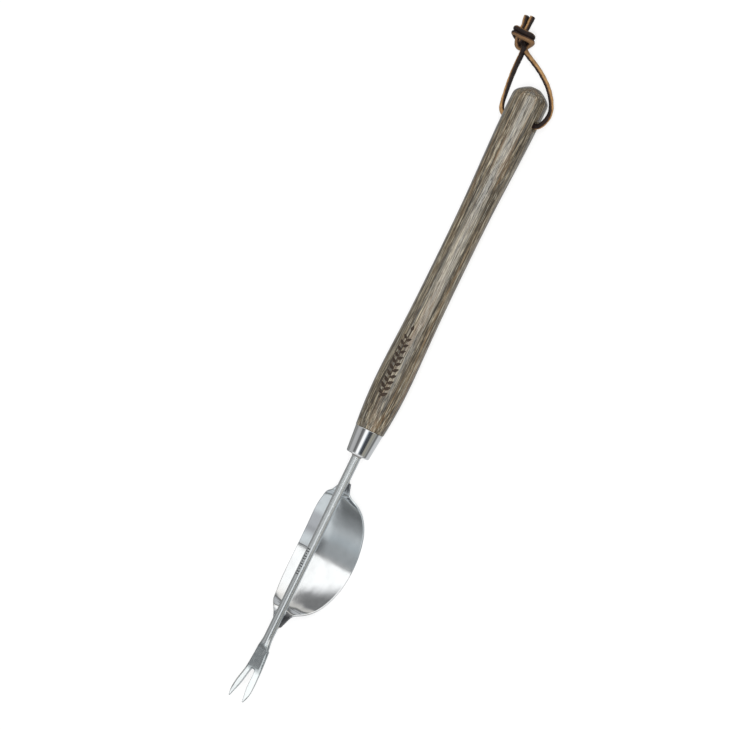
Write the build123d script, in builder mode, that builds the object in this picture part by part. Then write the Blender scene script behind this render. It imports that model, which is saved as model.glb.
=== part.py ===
from build123d import *
import math
import os

"""Long-handled hand weeder with a two-tine fork and a rocker plate.

Frame: +Z up, +X from the fork to the butt of the handle, Y across the tool.
"Front" is the fork end (-X), "rear" the butt end (+X).
Origin: the middle of the rocker plate's sole, where the tool bears on level ground (Z = 0).
The shaft axis runs along X at Z = SHAFT_Z.  Millimetres.
"""

# ---------------------------------------------------------------- driving dimensions
# rocker plate; depths run from the shaft axis down to the middle of the sheet
SHEET_T = 1.5             # stainless sheet thickness
ROCKER_DEPTH = 27.6       # at the sole
NECK_DEPTH = 4.80         # at the necks, under the shaft
ROCKER_HALF_CHORD = 54.5  # half the length over which the sheet bows down
NECK_FRONT_X = -69.5      # end of the front neck
NECK_REAR_X = 65.0        # end of the rear neck
SHAFT_Z = ROCKER_DEPTH + SHEET_T / 2

# shaft and its tang inside the handle
SHAFT_R = 4.0             # 8 mm round bar
BAR_FRONT_X = -77.0       # the plain bar ends and the flare to the blade begins
TANG_R = 3.6              # turned-down tang
TANG_STEP_X = 106.0       # the bar starts to step down to the tang
TANG_STEP_LENGTH = 0.8
TANG_END_X = 205.0
TANG_CHAMFER = 1.6
GROOVE_XS = [118.0 + 14.0 * i for i in range(6)]  # front edges of the tang grooves
GROOVE_DEPTH = 0.55
GROOVE_FLOOR_START = 1.2  # start and end of the groove floor, and the groove's rear edge,
GROOVE_FLOOR_END = 3.2    # measured from its front edge
GROOVE_LENGTH = 3.4

# ferrule, a tapered cup round the front of the handle
FERRULE_FRONT_X = 89.3
FERRULE_REAR_X = 112.8
FERRULE_R_FRONT = 10.25
FERRULE_R_REAR = 12.45
FERRULE_WALL = 1.2
FERRULE_CAP = 2.0         # thickness of the closed front end
FERRULE_BORE_FRONT_X = FERRULE_FRONT_X + FERRULE_CAP

# handle
SPIGOT_FRONT_X = FERRULE_BORE_FRONT_X + 0.4
HANDLE_BORE_R = 4.6
HANDLE_BORE_END_X = 207.0
HOLE_X = 402.95           # cross hole for the thong
HOLE_R = 4.2

SIDE = Plane(origin=(0, 0, SHAFT_Z), x_dir=(1, 0, 0), z_dir=(0, -1, 0))
TOP = Plane(origin=(0, 0, SHAFT_Z), x_dir=(1, 0, 0), z_dir=(0, 0, 1))
SHAFT_AXIS = Axis((0, 0, SHAFT_Z), (1, 0, 0))


def across(x):
    """Plane square to the shaft at X = x, its own x along +Y and its own y along +Z."""
    return Plane(origin=(x, 0, SHAFT_Z), x_dir=(0, 1, 0), z_dir=(1, 0, 0))


def mirrored(points):
    """Plan points carried to the other side of the X axis, in reverse order."""
    return [(x, -y) for x, y in reversed(points)]


def mirrored_tangents(tangents):
    """End tangents that go with a curve through mirrored points."""
    return [(-x, y) for x, y in reversed(tangents)]


def ferrule_bore_r(x):
    """Inner radius of the ferrule's tapered wall at X = x."""
    taper = (FERRULE_R_REAR - FERRULE_R_FRONT) / (FERRULE_REAR_X - FERRULE_FRONT_X)
    return FERRULE_R_FRONT + taper * (x - FERRULE_FRONT_X) - FERRULE_WALL


def tang_profile(gap):
    """(X, radius) from the step in the bar to the end of the tang, standing off by gap."""
    radius = TANG_R + gap
    points = [(TANG_STEP_X + gap, SHAFT_R + gap), (TANG_STEP_X + TANG_STEP_LENGTH + gap, radius)]
    for groove_x in GROOVE_XS:
        points += [
            (groove_x + gap, radius),
            (groove_x + GROOVE_FLOOR_START + gap, radius - GROOVE_DEPTH),
            (groove_x + GROOVE_FLOOR_END - gap, radius - GROOVE_DEPTH),
            (groove_x + GROOVE_LENGTH - gap, radius),
        ]
    return points + [
        (TANG_END_X - TANG_CHAMFER + gap, radius),
        (TANG_END_X + gap, radius - TANG_CHAMFER),
        (TANG_END_X + gap, 0),
    ]


# ---------------------------------------------------------------- cross hole of the handle
HOLE_REACH = 22.0         # half length of the cutter, beyond the grip's surface
MOUTH_PROFILE = [         # (distance from the shaft axis, radius) of the eased mouth
    (12.6, HOLE_R),
    (13.8, HOLE_R + 0.08),
    (14.8, HOLE_R + 0.36),
    (15.5, HOLE_R + 0.80),
    (16.0, HOLE_R + 1.40),
    (HOLE_REACH, HOLE_R + 10.0),
]

with BuildPart() as thong_hole:
    with BuildSketch(Plane(origin=(HOLE_X, 0, SHAFT_Z), x_dir=(0, 1, 0), z_dir=(0, 0, 1))):
        with BuildLine():
            Polyline(
                (-HOLE_REACH, 0),
                *[(-y, -r) for y, r in reversed(MOUTH_PROFILE)],
                *[(y, -r) for y, r in MOUTH_PROFILE],
                (HOLE_REACH, 0),
                close=True,
            )
        make_face()
    revolve(axis=Axis((HOLE_X, 0, SHAFT_Z), (0, 1, 0)))

# ---------------------------------------------------------------- handle
SPIGOT_CHAMFER_X = SPIGOT_FRONT_X + 0.7
SPIGOT_CHAMFER = 0.75     # the spigot's front edge below the ferrule bore
SPIGOT_FIT = 0.05         # radial gap between spigot and ferrule
SHOULDER_BEVEL = 0.45     # radial bevel behind the ferrule
DRILL_POINT = 0.6         # length of the drill point over the bore radius
GRIP_PROFILE = [          # (X, radius) of the turned grip
    (113.4, 12.82), (121.3, 13.60), (129.7, 14.28), (138.1, 14.78), (146.5, 15.10),
    (156.0, 15.25), (166.0, 15.20), (180.2, 14.88), (197.0, 14.38), (213.9, 13.92),
    (230.7, 13.65), (256.0, 13.50), (281.2, 13.45), (303.0, 13.55), (319.0, 13.80),
    (336.0, 14.22), (352.0, 14.78), (368.0, 15.34), (384.0, 15.84),
]
SWELL = (402.0, 16.18)    # (X, radius) of the fullest part, by the cross hole
BUTT_EDGE = (432.4, 5.5)  # (X, radius) of the flat on the butt
CROWN = [                 # (X, radius) over the rounded end of the butt
    (420.5, 16.10), (423.2, 16.00), (424.8, 15.45), (425.9, 14.50),
    (428.3, 11.60), (430.6, 8.30), BUTT_EDGE,
]

with BuildPart() as handle:
    with BuildSketch(SIDE):
        with BuildLine():
            Polyline(
                (SPIGOT_FRONT_X, 0),
                (SPIGOT_FRONT_X, ferrule_bore_r(SPIGOT_FRONT_X) - SPIGOT_CHAMFER),
                (SPIGOT_CHAMFER_X, ferrule_bore_r(SPIGOT_CHAMFER_X) - SPIGOT_FIT),
                (FERRULE_REAR_X, ferrule_bore_r(FERRULE_REAR_X) - SPIGOT_FIT),
                (FERRULE_REAR_X, GRIP_PROFILE[0][1] - SHOULDER_BEVEL),
                GRIP_PROFILE[0],
            )
            Spline(GRIP_PROFILE, tangents=[(1.0, 0.105), (1.0, 0.028)])
            ThreePointArc(GRIP_PROFILE[-1], SWELL, CROWN[0])
            Spline(CROWN, tangents=[(1.0, -0.020), (0.55, -1.0)])
            Polyline(BUTT_EDGE, (BUTT_EDGE[0], 0), (SPIGOT_FRONT_X, 0))
        make_face()
    revolve(axis=SHAFT_AXIS)
    # blind bore for the tang, with a drill-point end
    with BuildSketch(SIDE):
        with BuildLine():
            Polyline(
                (SPIGOT_FRONT_X - 1, 0),
                (SPIGOT_FRONT_X - 1, HANDLE_BORE_R),
                (HANDLE_BORE_END_X, HANDLE_BORE_R),
                (HANDLE_BORE_END_X + HANDLE_BORE_R * DRILL_POINT, 0),
                (SPIGOT_FRONT_X - 1, 0),
            )
        make_face()
    revolve(axis=SHAFT_AXIS, mode=Mode.SUBTRACT)
    add(thong_hole.part, mode=Mode.SUBTRACT)

# ---------------------------------------------------------------- ferrule
FERRULE_HOLE_R = SHAFT_R + 0.06  # hole in the closed end, a slip fit on the bar
FRONT_FILLET_R = 1.3
REAR_FILLET_R = 0.25

with BuildPart() as ferrule:
    with BuildSketch(SIDE) as ferrule_section:
        with BuildLine():
            Polyline(
                (FERRULE_FRONT_X, FERRULE_HOLE_R),
                (FERRULE_FRONT_X, FERRULE_R_FRONT),
                (FERRULE_REAR_X, FERRULE_R_REAR),
                (FERRULE_REAR_X, ferrule_bore_r(FERRULE_REAR_X)),
                (FERRULE_BORE_FRONT_X, ferrule_bore_r(FERRULE_BORE_FRONT_X)),
                (FERRULE_BORE_FRONT_X, FERRULE_HOLE_R),
                (FERRULE_FRONT_X, FERRULE_HOLE_R),
            )
        make_face()
        # one corner of the front face is rounded: the first in this order
        front_corner = ferrule_section.vertices().sort_by(lambda v: v.X - 10 * v.Z)[0]
        fillet(front_corner, FRONT_FILLET_R)
    revolve(axis=SHAFT_AXIS)
    # the largest circle on the rear face
    rear_rim = ferrule.edges().filter_by(GeomType.CIRCLE).sort_by(
        lambda e: -e.radius if e.center().X > FERRULE_REAR_X - 0.01 else 99
    )[0]
    fillet(rear_rim, REAR_FILLET_R)

# ---------------------------------------------------------------- shaft and fork, one forging
BLADE_REAR_X = -92.0      # the flat blade meets the step up to the bar
BLADE_HALF_WIDTH = 5.75   # at BLADE_REAR_X
BLADE_TOP = 0.7           # blade face above the shaft axis
BLADE_BOTTOM = -2.35      # blade back below the shaft axis
STEP_TOP_X = -85.8        # top of the step from blade to bar
STEP_FILLET_R = 1.6
TINE_BEND_X = -107.0      # the tines start to turn up
TIP_X = -139.2            # points of the tines
TIP_Y = 7.3               # tine points either side of the X axis
TIP_RISE = 5.0            # how far the tine points turn up
TIP_T = 1.3               # thickness at the points
PROFILE_FRONT_X = TIP_X - 0.8  # the side profile runs a little past the points
PROFILE_REAR_X = -60.0
PROFILE_HALF_HEIGHT = 6.2  # side profile round the bar, clear of its surface
PROFILE_BELLY_X = -80.0   # the underside starts to rise towards the blade
SLAB_REACH = 14.0         # half thickness of the slabs that are intersected
NOTCH_X = -110.6          # root of the notch between the tines
NOTCH_HALF_WIDTH = 2.2    # where the round root begins
NOTCH_SIDE_X = NOTCH_X - 1.9

TIP_BOTTOM = (PROFILE_FRONT_X, TIP_RISE - TIP_T / 2)
TIP_TOP = (PROFILE_FRONT_X, TIP_RISE + TIP_T / 2)

# plan of the tine on the -Y side, (X, Y), from the blade round the point to the notch
TINE_OUTER = [
    (BLADE_REAR_X, -BLADE_HALF_WIDTH), (-97.7, -6.38), (-103.0, -6.85),
    (-108.5, -7.25), (-114.5, -7.97), (-121.0, -8.95),
    (-127.0, -9.62), (-131.0, -9.68), (-134.6, -9.15),
]
TINE_OUTER_TANGENTS = [(-1.0, -0.11), (-1.0, 0.26)]
TIP_OUTER = [TINE_OUTER[-1], (-137.4, -8.35), (TIP_X + 0.1, -TIP_Y - 0.35)]
TIP_OUTER_TANGENTS = [(-1.0, 0.26), (-0.75, 0.9)]
TIP_ROUND = [TIP_OUTER[-1], (TIP_X - 0.12, -TIP_Y + 0.1), (TIP_X + 0.35, -TIP_Y + 0.5)]
TINE_INNER = [
    TIP_ROUND[-1], (-135.6, -6.0), (-131.4, -4.95),
    (-123.0, -3.42), (-114.5, -2.55), (NOTCH_SIDE_X, -NOTCH_HALF_WIDTH),
]
TINE_INNER_TANGENTS = [(1.0, 0.42), (1.0, 0.10)]

FLARE_SECTIONS = [        # (X, half width, half height) of ellipses from the bar to the blade
    (BAR_FRONT_X, SHAFT_R, SHAFT_R),
    (-82.0, SHAFT_R + 0.12, SHAFT_R),
    (-87.0, 4.75, SHAFT_R),
    (BLADE_REAR_X, BLADE_HALF_WIDTH, SHAFT_R),
    (-98.0, 6.42, SHAFT_R - 0.3),
]

with BuildPart() as blade_side:
    # side profile of the forging, a slab across Y
    with BuildSketch(SIDE) as blade_profile:
        with BuildLine():
            Polyline(
                (BLADE_REAR_X, BLADE_TOP),
                (STEP_TOP_X, PROFILE_HALF_HEIGHT),
                (PROFILE_REAR_X, PROFILE_HALF_HEIGHT),
                (PROFILE_REAR_X, -PROFILE_HALF_HEIGHT),
            )
            Line(
                (PROFILE_REAR_X, -PROFILE_HALF_HEIGHT),
                (PROFILE_BELLY_X, -PROFILE_HALF_HEIGHT),
            )
            Spline(
                (PROFILE_BELLY_X, -PROFILE_HALF_HEIGHT),
                (-84.5, -4.15),
                (-90.0, -3.05),
                (-98.0, BLADE_BOTTOM),
                (TINE_BEND_X, BLADE_BOTTOM),
                tangents=[(-0.6, 1.0), (-1.0, 0.0)],
            )
            Spline(
                (TINE_BEND_X, BLADE_BOTTOM),
                (-116.0, -1.30),
                (-128.0, 1.55),
                TIP_BOTTOM,
                tangents=[(-1.0, 0.0), (-1.0, 0.30)],
            )
            Line(TIP_BOTTOM, TIP_TOP)
            Spline(
                TIP_TOP,
                (-128.0, 3.95),
                (-116.0, 1.62),
                (TINE_BEND_X, BLADE_TOP),
                tangents=[(1.0, -0.16), (1.0, 0.0)],
            )
            Line((TINE_BEND_X, BLADE_TOP), (BLADE_REAR_X, BLADE_TOP))
        make_face()
        step_corner = blade_profile.vertices().sort_by(lambda v: abs(v.X - BLADE_REAR_X))[0]
        fillet(step_corner, STEP_FILLET_R)
    extrude(amount=SLAB_REACH, both=True)

with BuildPart() as blade:
    # plan of the blade with its notch and two tines
    with BuildSketch(TOP):
        with BuildLine():
            Line((BLADE_REAR_X, BLADE_HALF_WIDTH), (BLADE_REAR_X, -BLADE_HALF_WIDTH))
            Spline(TINE_OUTER, tangents=TINE_OUTER_TANGENTS)
            Spline(TIP_OUTER, tangents=TIP_OUTER_TANGENTS)
            ThreePointArc(*TIP_ROUND)
            Spline(TINE_INNER, tangents=TINE_INNER_TANGENTS)
            ThreePointArc(
                (NOTCH_SIDE_X, -NOTCH_HALF_WIDTH),
                (NOTCH_X, 0),
                (NOTCH_SIDE_X, NOTCH_HALF_WIDTH),
            )
            Spline(mirrored(TINE_INNER), tangents=mirrored_tangents(TINE_INNER_TANGENTS))
            ThreePointArc(*mirrored(TIP_ROUND))
            Spline(mirrored(TIP_OUTER), tangents=mirrored_tangents(TIP_OUTER_TANGENTS))
            Spline(mirrored(TINE_OUTER), tangents=mirrored_tangents(TINE_OUTER_TANGENTS))
        make_face()
    extrude(amount=SLAB_REACH, both=True)
    add(blade_side.part, mode=Mode.INTERSECT)

with BuildPart() as flare:
    # bar spreading into the blade: round at the bar, wide oval at the blade
    for x, half_width, half_height in FLARE_SECTIONS:
        with BuildSketch(across(x)):
            Ellipse(half_width, half_height)
    loft()
    add(blade_side.part, mode=Mode.INTERSECT)

with BuildPart() as shaft_fork:
    with BuildSketch(SIDE):
        with BuildLine():
            Polyline((BAR_FRONT_X, 0), (BAR_FRONT_X, SHAFT_R), *tang_profile(0), close=True)
        make_face()
    revolve(axis=SHAFT_AXIS)
    add(flare.part)
    add(blade.part)

# ---------------------------------------------------------------- rocker plate
BOW_EXPONENT = 0.68       # fullness of the bow
FLANK_START = 0.96        # fraction of the half chord where the straight flank begins
FLANK_SLOPE = 1.24
BEND_SOFTNESS = 0.55      # rounding of the bend from flank to neck
CURL_TABLE = [            # (distance from X = 0, curvature of the sheet across the tool, 1/mm)
    (0, 0.0), (44.0, 0.0), (49.0, 0.006), (53.0, 0.022),
    (56.0, 0.045), (60.0, 0.068), (66.0, 0.105), (72.0, 0.150),
]
CURL_REACH = 1.128        # the cup stops rising at this many curl radii from the centre line
CURL_MAX_RISE = 2.6       # and levels off towards this height
SECTION_HALF_WIDTH = 33.0  # wider than the finished outline
PLAN_REACH = 40.0         # the outline's slab reaches this far above and below the axis
SECTION_FRACTIONS = [0.08, 0.18, 0.32, 0.52, 0.76, 1]  # points across half a section
STATIONS = [              # distances of the sections either side of X = 0, outermost first
    71.0, 68.0, 65.0, 62.0, 60.0, 58.5, 57.4, 56.5, 55.8, 55.1, 54.4, 53.6,
    52.6, 51.4, 49.8, 47.6, 44.5, 40.5, 35.5, 29.5, 22.5, 15.0, 7.5,
]
PLATE_OUTLINE = [         # (X, Y) of the +Y edge: narrow neck, broad sole, narrow neck
    (NECK_FRONT_X, 4.1), (-66.4, 5.55), (-63.0, 7.05), (-59.0, 8.9), (-55.6, 11.6),
    (-51.6, 16.7), (-47.2, 20.3), (-42.9, 22.6), (-38.7, 24.3), (-30.3, 26.7),
    (-21.9, 28.3), (-13.5, 29.25), (-4.0, 29.7), (4.0, 29.75), (12.0, 29.4),
    (20.2, 28.7), (28.6, 27.6), (36.5, 25.6), (42.5, 23.0), (47.4, 19.9),
    (51.2, 15.9), (54.0, 10.9), (58.1, 7.35), (62.3, 5.6), (NECK_REAR_X, 4.5),
]


def bow_depth(fraction):
    """Depth of the bowed sheet at a fraction of the half chord."""
    return NECK_DEPTH + (ROCKER_DEPTH - NECK_DEPTH) * (1 - fraction**2) ** BOW_EXPONENT


def sheet_depth(x):
    """Depth of the middle of the sheet below the shaft axis along the centre line."""
    fraction = abs(x) / ROCKER_HALF_CHORD
    if fraction < FLANK_START:
        return bow_depth(fraction)
    # straight flank, then a tight bend into the flat neck
    flank_run = abs(x) - FLANK_START * ROCKER_HALF_CHORD
    above_neck = bow_depth(FLANK_START) - FLANK_SLOPE * flank_run - NECK_DEPTH
    return NECK_DEPTH + 0.5 * (above_neck + math.sqrt(above_neck**2 + 4 * BEND_SOFTNESS**2))


def sheet_curl(x):
    """Curvature of the sheet across the tool: the necks cup the shaft, the sole is straight."""
    distance = abs(x)
    for (start, start_curl), (end, end_curl) in zip(CURL_TABLE, CURL_TABLE[1:]):
        if start <= distance <= end:
            t = (distance - start) / (end - start)
            if start_curl == 0.0:
                t = t * t * (3 - 2 * t)  # ease out of the straight sole
            return start_curl + (end_curl - start_curl) * t
    return CURL_TABLE[-1][1]


def sheet_rise(x, y):
    """Height the curl lifts the sheet above its centre line."""
    curl = sheet_curl(x)
    if curl == 0.0:
        return 0.0
    reach = min(abs(y), CURL_REACH / curl)
    return CURL_MAX_RISE * math.tanh(curl * reach * reach / 2 / CURL_MAX_RISE)


def sheet_section(x):
    """Upper and lower edge of the sheet cut square to the shaft, as (Y, Z from the axis)."""
    h = 0.05
    slope = (sheet_depth(x + h) - sheet_depth(x - h)) / (2 * h)
    half_t = SHEET_T / 2 * math.sqrt(1 + slope * slope)
    fractions = [-f for f in reversed(SECTION_FRACTIONS)] + [0] + SECTION_FRACTIONS
    ys = [SECTION_HALF_WIDTH * f for f in fractions]
    middle = [(y, sheet_rise(x, y) - sheet_depth(x)) for y in ys]
    return [(y, z + half_t) for y, z in middle], [(y, z - half_t) for y, z in reversed(middle)]


with BuildPart() as rocker_plate:
    # the bowed sheet, lofted through sections square to the shaft
    for x in [-distance for distance in STATIONS] + [0.0] + list(reversed(STATIONS)):
        upper_edge, lower_edge = sheet_section(x)
        with BuildSketch(across(x)):
            with BuildLine():
                Spline(upper_edge)
                Line(upper_edge[-1], lower_edge[0])
                Spline(lower_edge)
                Line(lower_edge[-1], upper_edge[0])
            make_face()
    loft()
    # trimmed to the plan outline
    with BuildSketch(TOP):
        other_edge = mirrored(PLATE_OUTLINE)
        with BuildLine():
            Spline(PLATE_OUTLINE)
            Line(PLATE_OUTLINE[-1], other_edge[0])
            Spline(other_edge)
            Line(other_edge[-1], PLATE_OUTLINE[0])
        make_face()
    extrude(amount=PLAN_REACH, both=True, mode=Mode.INTERSECT)

# ---------------------------------------------------------------- weld beads
BEAD_INNER_R = SHAFT_R + 0.02
HALF_BEAD_TOP_Z = SHAFT_Z - 1.3


def weld_bead(edge_x, direction, gap, height, waist, length, under_only):
    """Concave bead round the bar, beside the edge at edge_x and running in direction (+1 or -1).

    gap: clearance to the edge; height: crest above the bar; length: edge to toe;
    waist: (distance from the edge, height above the bar) of a point on the hollow face;
    under_only: keep only the part under the bar.
    """
    start = (edge_x + direction * gap, BEAD_INNER_R)
    crest = (edge_x + direction * gap, SHAFT_R + height)
    hollow = (edge_x + direction * waist[0], SHAFT_R + waist[1])
    toe = (edge_x + direction * length, BEAD_INNER_R)
    with BuildPart() as bead:
        with BuildSketch(SIDE):
            with BuildLine():
                Line(start, crest)
                ThreePointArc(crest, hollow, toe)
                Line(toe, start)
            make_face()
        revolve(axis=SHAFT_AXIS)
        if under_only:
            split(bisect_by=Plane.XY.offset(HALF_BEAD_TOP_Z), keep=Keep.BOTTOM)
    return bead.part


front_weld = weld_bead(
    NECK_FRONT_X, -1, gap=0.04, height=1.35, waist=(1.0, 0.62), length=2.5, under_only=True
)
rear_weld = weld_bead(
    NECK_REAR_X, 1, gap=0.04, height=1.35, waist=(0.95, 0.62), length=2.4, under_only=True
)
ferrule_weld = weld_bead(
    FERRULE_FRONT_X, -1, gap=0.03, height=1.3, waist=(0.5, 0.5), length=1.4, under_only=False
)

# ---------------------------------------------------------------- bedding resin round the tang
RESIN_GAP = 0.02          # clearance to the tang and to the handle's bore
RESIN_END_X = HANDLE_BORE_END_X - 1.0

with BuildPart() as tang_resin:
    with BuildSketch(SIDE):
        with BuildLine():
            Polyline(
                (SPIGOT_FRONT_X, SHAFT_R + RESIN_GAP),
                *tang_profile(RESIN_GAP),
                (RESIN_END_X, 0),
                (RESIN_END_X, HANDLE_BORE_R - RESIN_GAP),
                (SPIGOT_FRONT_X, HANDLE_BORE_R - RESIN_GAP),
                close=True,
            )
        make_face()
    revolve(axis=SHAFT_AXIS)

# ---------------------------------------------------------------- lanyard thong
THONG_R = 1.85
KNOT_CORE_R = 5.0
KNOT = (466.5, 36.5, SHAFT_Z - 5.9)
KNOT_Z = KNOT[2]


def raised(points, base_z):
    """Points with their heights counted from base_z."""
    return [(x, y, z + base_z) for x, y, z in points]


# centre line of the thong, (X, Y, Z from the shaft axis)
ARM_LOW_Y = [             # from the -Y mouth of the cross hole, over the butt to the knot
    (403.9, -18.0, 0.0), (406.3, -20.6, 0.0), (411.0, -22.4, 0.0), (416.6, -22.7, -0.1),
    (421.8, -21.6, -0.4), (427.3, -18.6, -0.9), (433.2, -13.4, -1.7), (439.0, -6.0, -2.5),
    (445.4, 2.3, -3.4), (450.5, 10.4, -4.2), (454.9, 18.4, -5.0), (459.6, 27.0, -5.9),
    (463.6, 32.6, -5.9),
]
ARM_HIGH_Y = [            # from the +Y mouth to the knot
    (403.9, 18.0, 0.0), (406.9, 21.4, 0.0), (412.0, 24.0, -0.2), (419.0, 26.0, -0.8),
    (429.0, 27.7, -1.8), (441.2, 29.3, -3.4), (450.0, 30.4, -4.6), (458.2, 32.4, -5.6),
    (463.6, 35.0, -5.9),
]
IN_HOLE_LOW_Y = [(HOLE_X, -13.5, 0), (HOLE_X, -6.0, 0)]
ARM_JOINT = (HOLE_X, 6.0, 0)  # the two arms meet inside the cross hole
IN_HOLE_HIGH_Y = [(HOLE_X, 13.5, 0)]

# cut tails beyond the knot, (X, Y, Z from the knot)
TAIL_HIGH_Y = [(472.4, 40.0, 0.3), (479.0, 42.2, 0.1), (484.6, 43.4, 0)]
TAIL_LOW_Y = [(472.6, 36.3, -0.3), (479.4, 36.1, -0.2), (485.8, 36.2, 0)]

low_arm = list(reversed(ARM_LOW_Y)) + IN_HOLE_LOW_Y + [ARM_JOINT]
high_arm = [ARM_JOINT] + IN_HOLE_HIGH_Y + ARM_HIGH_Y
THONG_RUNS = [            # (points, end tangents)
    ([KNOT] + raised(low_arm, SHAFT_Z), [(-0.7, -0.7, 0), (0, 1, 0)]),
    (raised(high_arm, SHAFT_Z) + [KNOT], [(0, 1, 0), (0.8, 0.4, 0)]),
    ([KNOT] + raised(TAIL_HIGH_Y, KNOT_Z), None),
    ([KNOT] + raised(TAIL_LOW_Y, KNOT_Z), None),
]
KNOT_WRAPS = [            # (centre, direction of the long axis, long and short half axes)
    ((468.6, 37.4, KNOT_Z), (0.31, 0.95, 0.0), 10.4, 4.7),
    ((461.6, 33.6, KNOT_Z), (-0.12, 0.99, 0.0), 7.0, 4.5),
]

with BuildPart() as lanyard:
    # both arms, then the tails
    for points, end_tangents in THONG_RUNS:
        with BuildLine():
            thong_path = Spline(points, tangents=end_tangents)
        with BuildSketch(Plane(origin=thong_path @ 0, z_dir=thong_path % 0)):
            Circle(THONG_R)
        sweep(path=thong_path)
    # body of the overhand knot: a core and two wraps
    with Locations(KNOT):
        Sphere(KNOT_CORE_R)
    for centre, lean, long_half, short_half in KNOT_WRAPS:
        wrap_plane = Plane(origin=centre, x_dir=lean, z_dir=(lean[1], -lean[0], 0.0))
        with BuildLine(wrap_plane):
            wrap_path = EllipticalCenterArc(
                (0, 0), long_half, short_half, start_angle=0, arc_size=360
            )
        with BuildSketch(Plane(origin=wrap_path @ 0, z_dir=wrap_path % 0)):
            Circle(THONG_R)
        sweep(path=wrap_path)

# ---------------------------------------------------------------- write the sub-parts
PIECES = {
    "handle": handle.part,
    "ferrule": ferrule.part,
    "shaft_fork": shaft_fork.part,
    "rocker_plate": rocker_plate.part,
    "front_weld": front_weld,
    "rear_weld": rear_weld,
    "ferrule_weld": ferrule_weld,
    "tang_resin": tang_resin.part,
    "lanyard": lanyard.part,
}

os.makedirs("parts", exist_ok=True)
for name, piece in PIECES.items():
    piece.label = name
    export_step(piece, f"parts/{name}.step")
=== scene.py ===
"""Hand tool with a forged fork, a bowed rocker plate, a turned ash grip and a leather thong.

The shaft axis runs along X at height SHAFT_Z: the fork points to -X, the grip and thong to +X.
The sole of the rocker plate rests at z = 0. Shapes are given in mm and built in metres; stage,
lights and camera are given in metres, and procedural textures in cycles per metre.
"""
import math

import bmesh
import bpy
import numpy as np
from mathutils import Matrix, Vector


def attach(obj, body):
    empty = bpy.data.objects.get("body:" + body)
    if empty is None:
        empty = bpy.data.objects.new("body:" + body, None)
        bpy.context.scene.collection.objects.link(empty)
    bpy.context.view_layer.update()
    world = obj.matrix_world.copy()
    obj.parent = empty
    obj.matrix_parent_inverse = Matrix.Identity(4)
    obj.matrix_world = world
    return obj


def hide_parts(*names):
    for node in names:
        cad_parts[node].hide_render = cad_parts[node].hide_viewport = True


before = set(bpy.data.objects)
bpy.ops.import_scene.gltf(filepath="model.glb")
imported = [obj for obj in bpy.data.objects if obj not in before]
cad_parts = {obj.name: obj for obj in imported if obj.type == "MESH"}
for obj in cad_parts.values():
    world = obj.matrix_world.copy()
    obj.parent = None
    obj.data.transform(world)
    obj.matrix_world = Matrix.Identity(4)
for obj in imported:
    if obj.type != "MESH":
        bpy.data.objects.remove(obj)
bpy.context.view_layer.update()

COLLECTION = bpy.context.scene.collection

# ------------------------------------------------------------------ driving dimensions, mm
MM_TO_M = 0.001
COS30, SIN30 = math.cos(math.radians(30)), math.sin(math.radians(30))

SHEET_THICK = 1.5
ROCKER_DEPTH = 27.6                  # middle of the sheet below the shaft axis, at x = 0
SHAFT_Z = ROCKER_DEPTH + SHEET_THICK / 2
BAR_R = 4.0

FERRULE_START, FERRULE_START_R = 89.3, 10.25
FERRULE_END, FERRULE_END_R = 112.8, 12.45
FERRULE_WALL = 1.2
HOLE_X = 402.95                      # cross hole for the thong


# ------------------------------------------------------------------ curves
def span_index(knots, query):
    """Index of the span between knots that holds each query."""
    return np.clip(np.searchsorted(knots, query, side="right") - 1, 0, len(knots) - 2)


def monotone(knots, values, query):
    """Monotone cubic through (knots, values), read at query."""
    knots, values, query = (np.asarray(a, float) for a in (knots, values, query))
    gap = np.diff(knots)
    rise = np.diff(values) / gap
    slope = np.zeros(len(knots))
    for i in range(1, len(knots) - 1):
        if rise[i - 1] * rise[i] > 0:
            before, after = 2 * gap[i] + gap[i - 1], gap[i] + 2 * gap[i - 1]
            slope[i] = (before + after) / (before / rise[i - 1] + after / rise[i])
    slope[0], slope[-1] = rise[0], rise[-1]
    i = span_index(knots, query)
    t = (query - knots[i]) / gap[i]
    square, cube = t * t, t * t * t
    return ((2 * cube - 3 * square + 1) * values[i]
            + (cube - 2 * square + t) * gap[i] * slope[i]
            + (-2 * cube + 3 * square) * values[i + 1]
            + (cube - square) * gap[i] * slope[i + 1])


def natural(knots, values, query):
    """Natural cubic spline through (knots, values), read at query; values may have columns."""
    knots, values, query = (np.asarray(a, float) for a in (knots, values, query))
    count = len(knots)
    gap = np.diff(knots)
    system = np.zeros((count, count))
    target = np.zeros((count,) + values.shape[1:])
    system[0, 0] = system[-1, -1] = 1.0
    for i in range(1, count - 1):
        system[i, i - 1:i + 2] = gap[i - 1], 2 * (gap[i - 1] + gap[i]), gap[i]
        target[i] = 6 * ((values[i + 1] - values[i]) / gap[i]
                         - (values[i] - values[i - 1]) / gap[i - 1])
    bend = np.linalg.solve(system, target)
    i = span_index(knots, query)
    past, left, span = query - knots[i], knots[i + 1] - query, gap[i]
    if values.ndim > 1:
        past, left, span = past[:, None], left[:, None], span[:, None]
    return ((bend[i] * left ** 3 + bend[i + 1] * past ** 3) / (6 * span)
            + (values[i] / span - bend[i] * span / 6) * left
            + (values[i + 1] / span - bend[i + 1] * span / 6) * past)


def chords(points, power=1.0):
    """Running sum of the chord lengths, each raised to a power."""
    steps = np.linalg.norm(np.diff(points, axis=0), axis=1) ** power
    return np.concatenate([[0], np.cumsum(steps)])


def resample(stations, samples):
    """Spline through the stations by chord length, read at evenly spaced parameters."""
    points = np.array(stations, float)
    along = chords(points)
    return natural(along, points, np.linspace(0, along[-1], samples))


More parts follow.
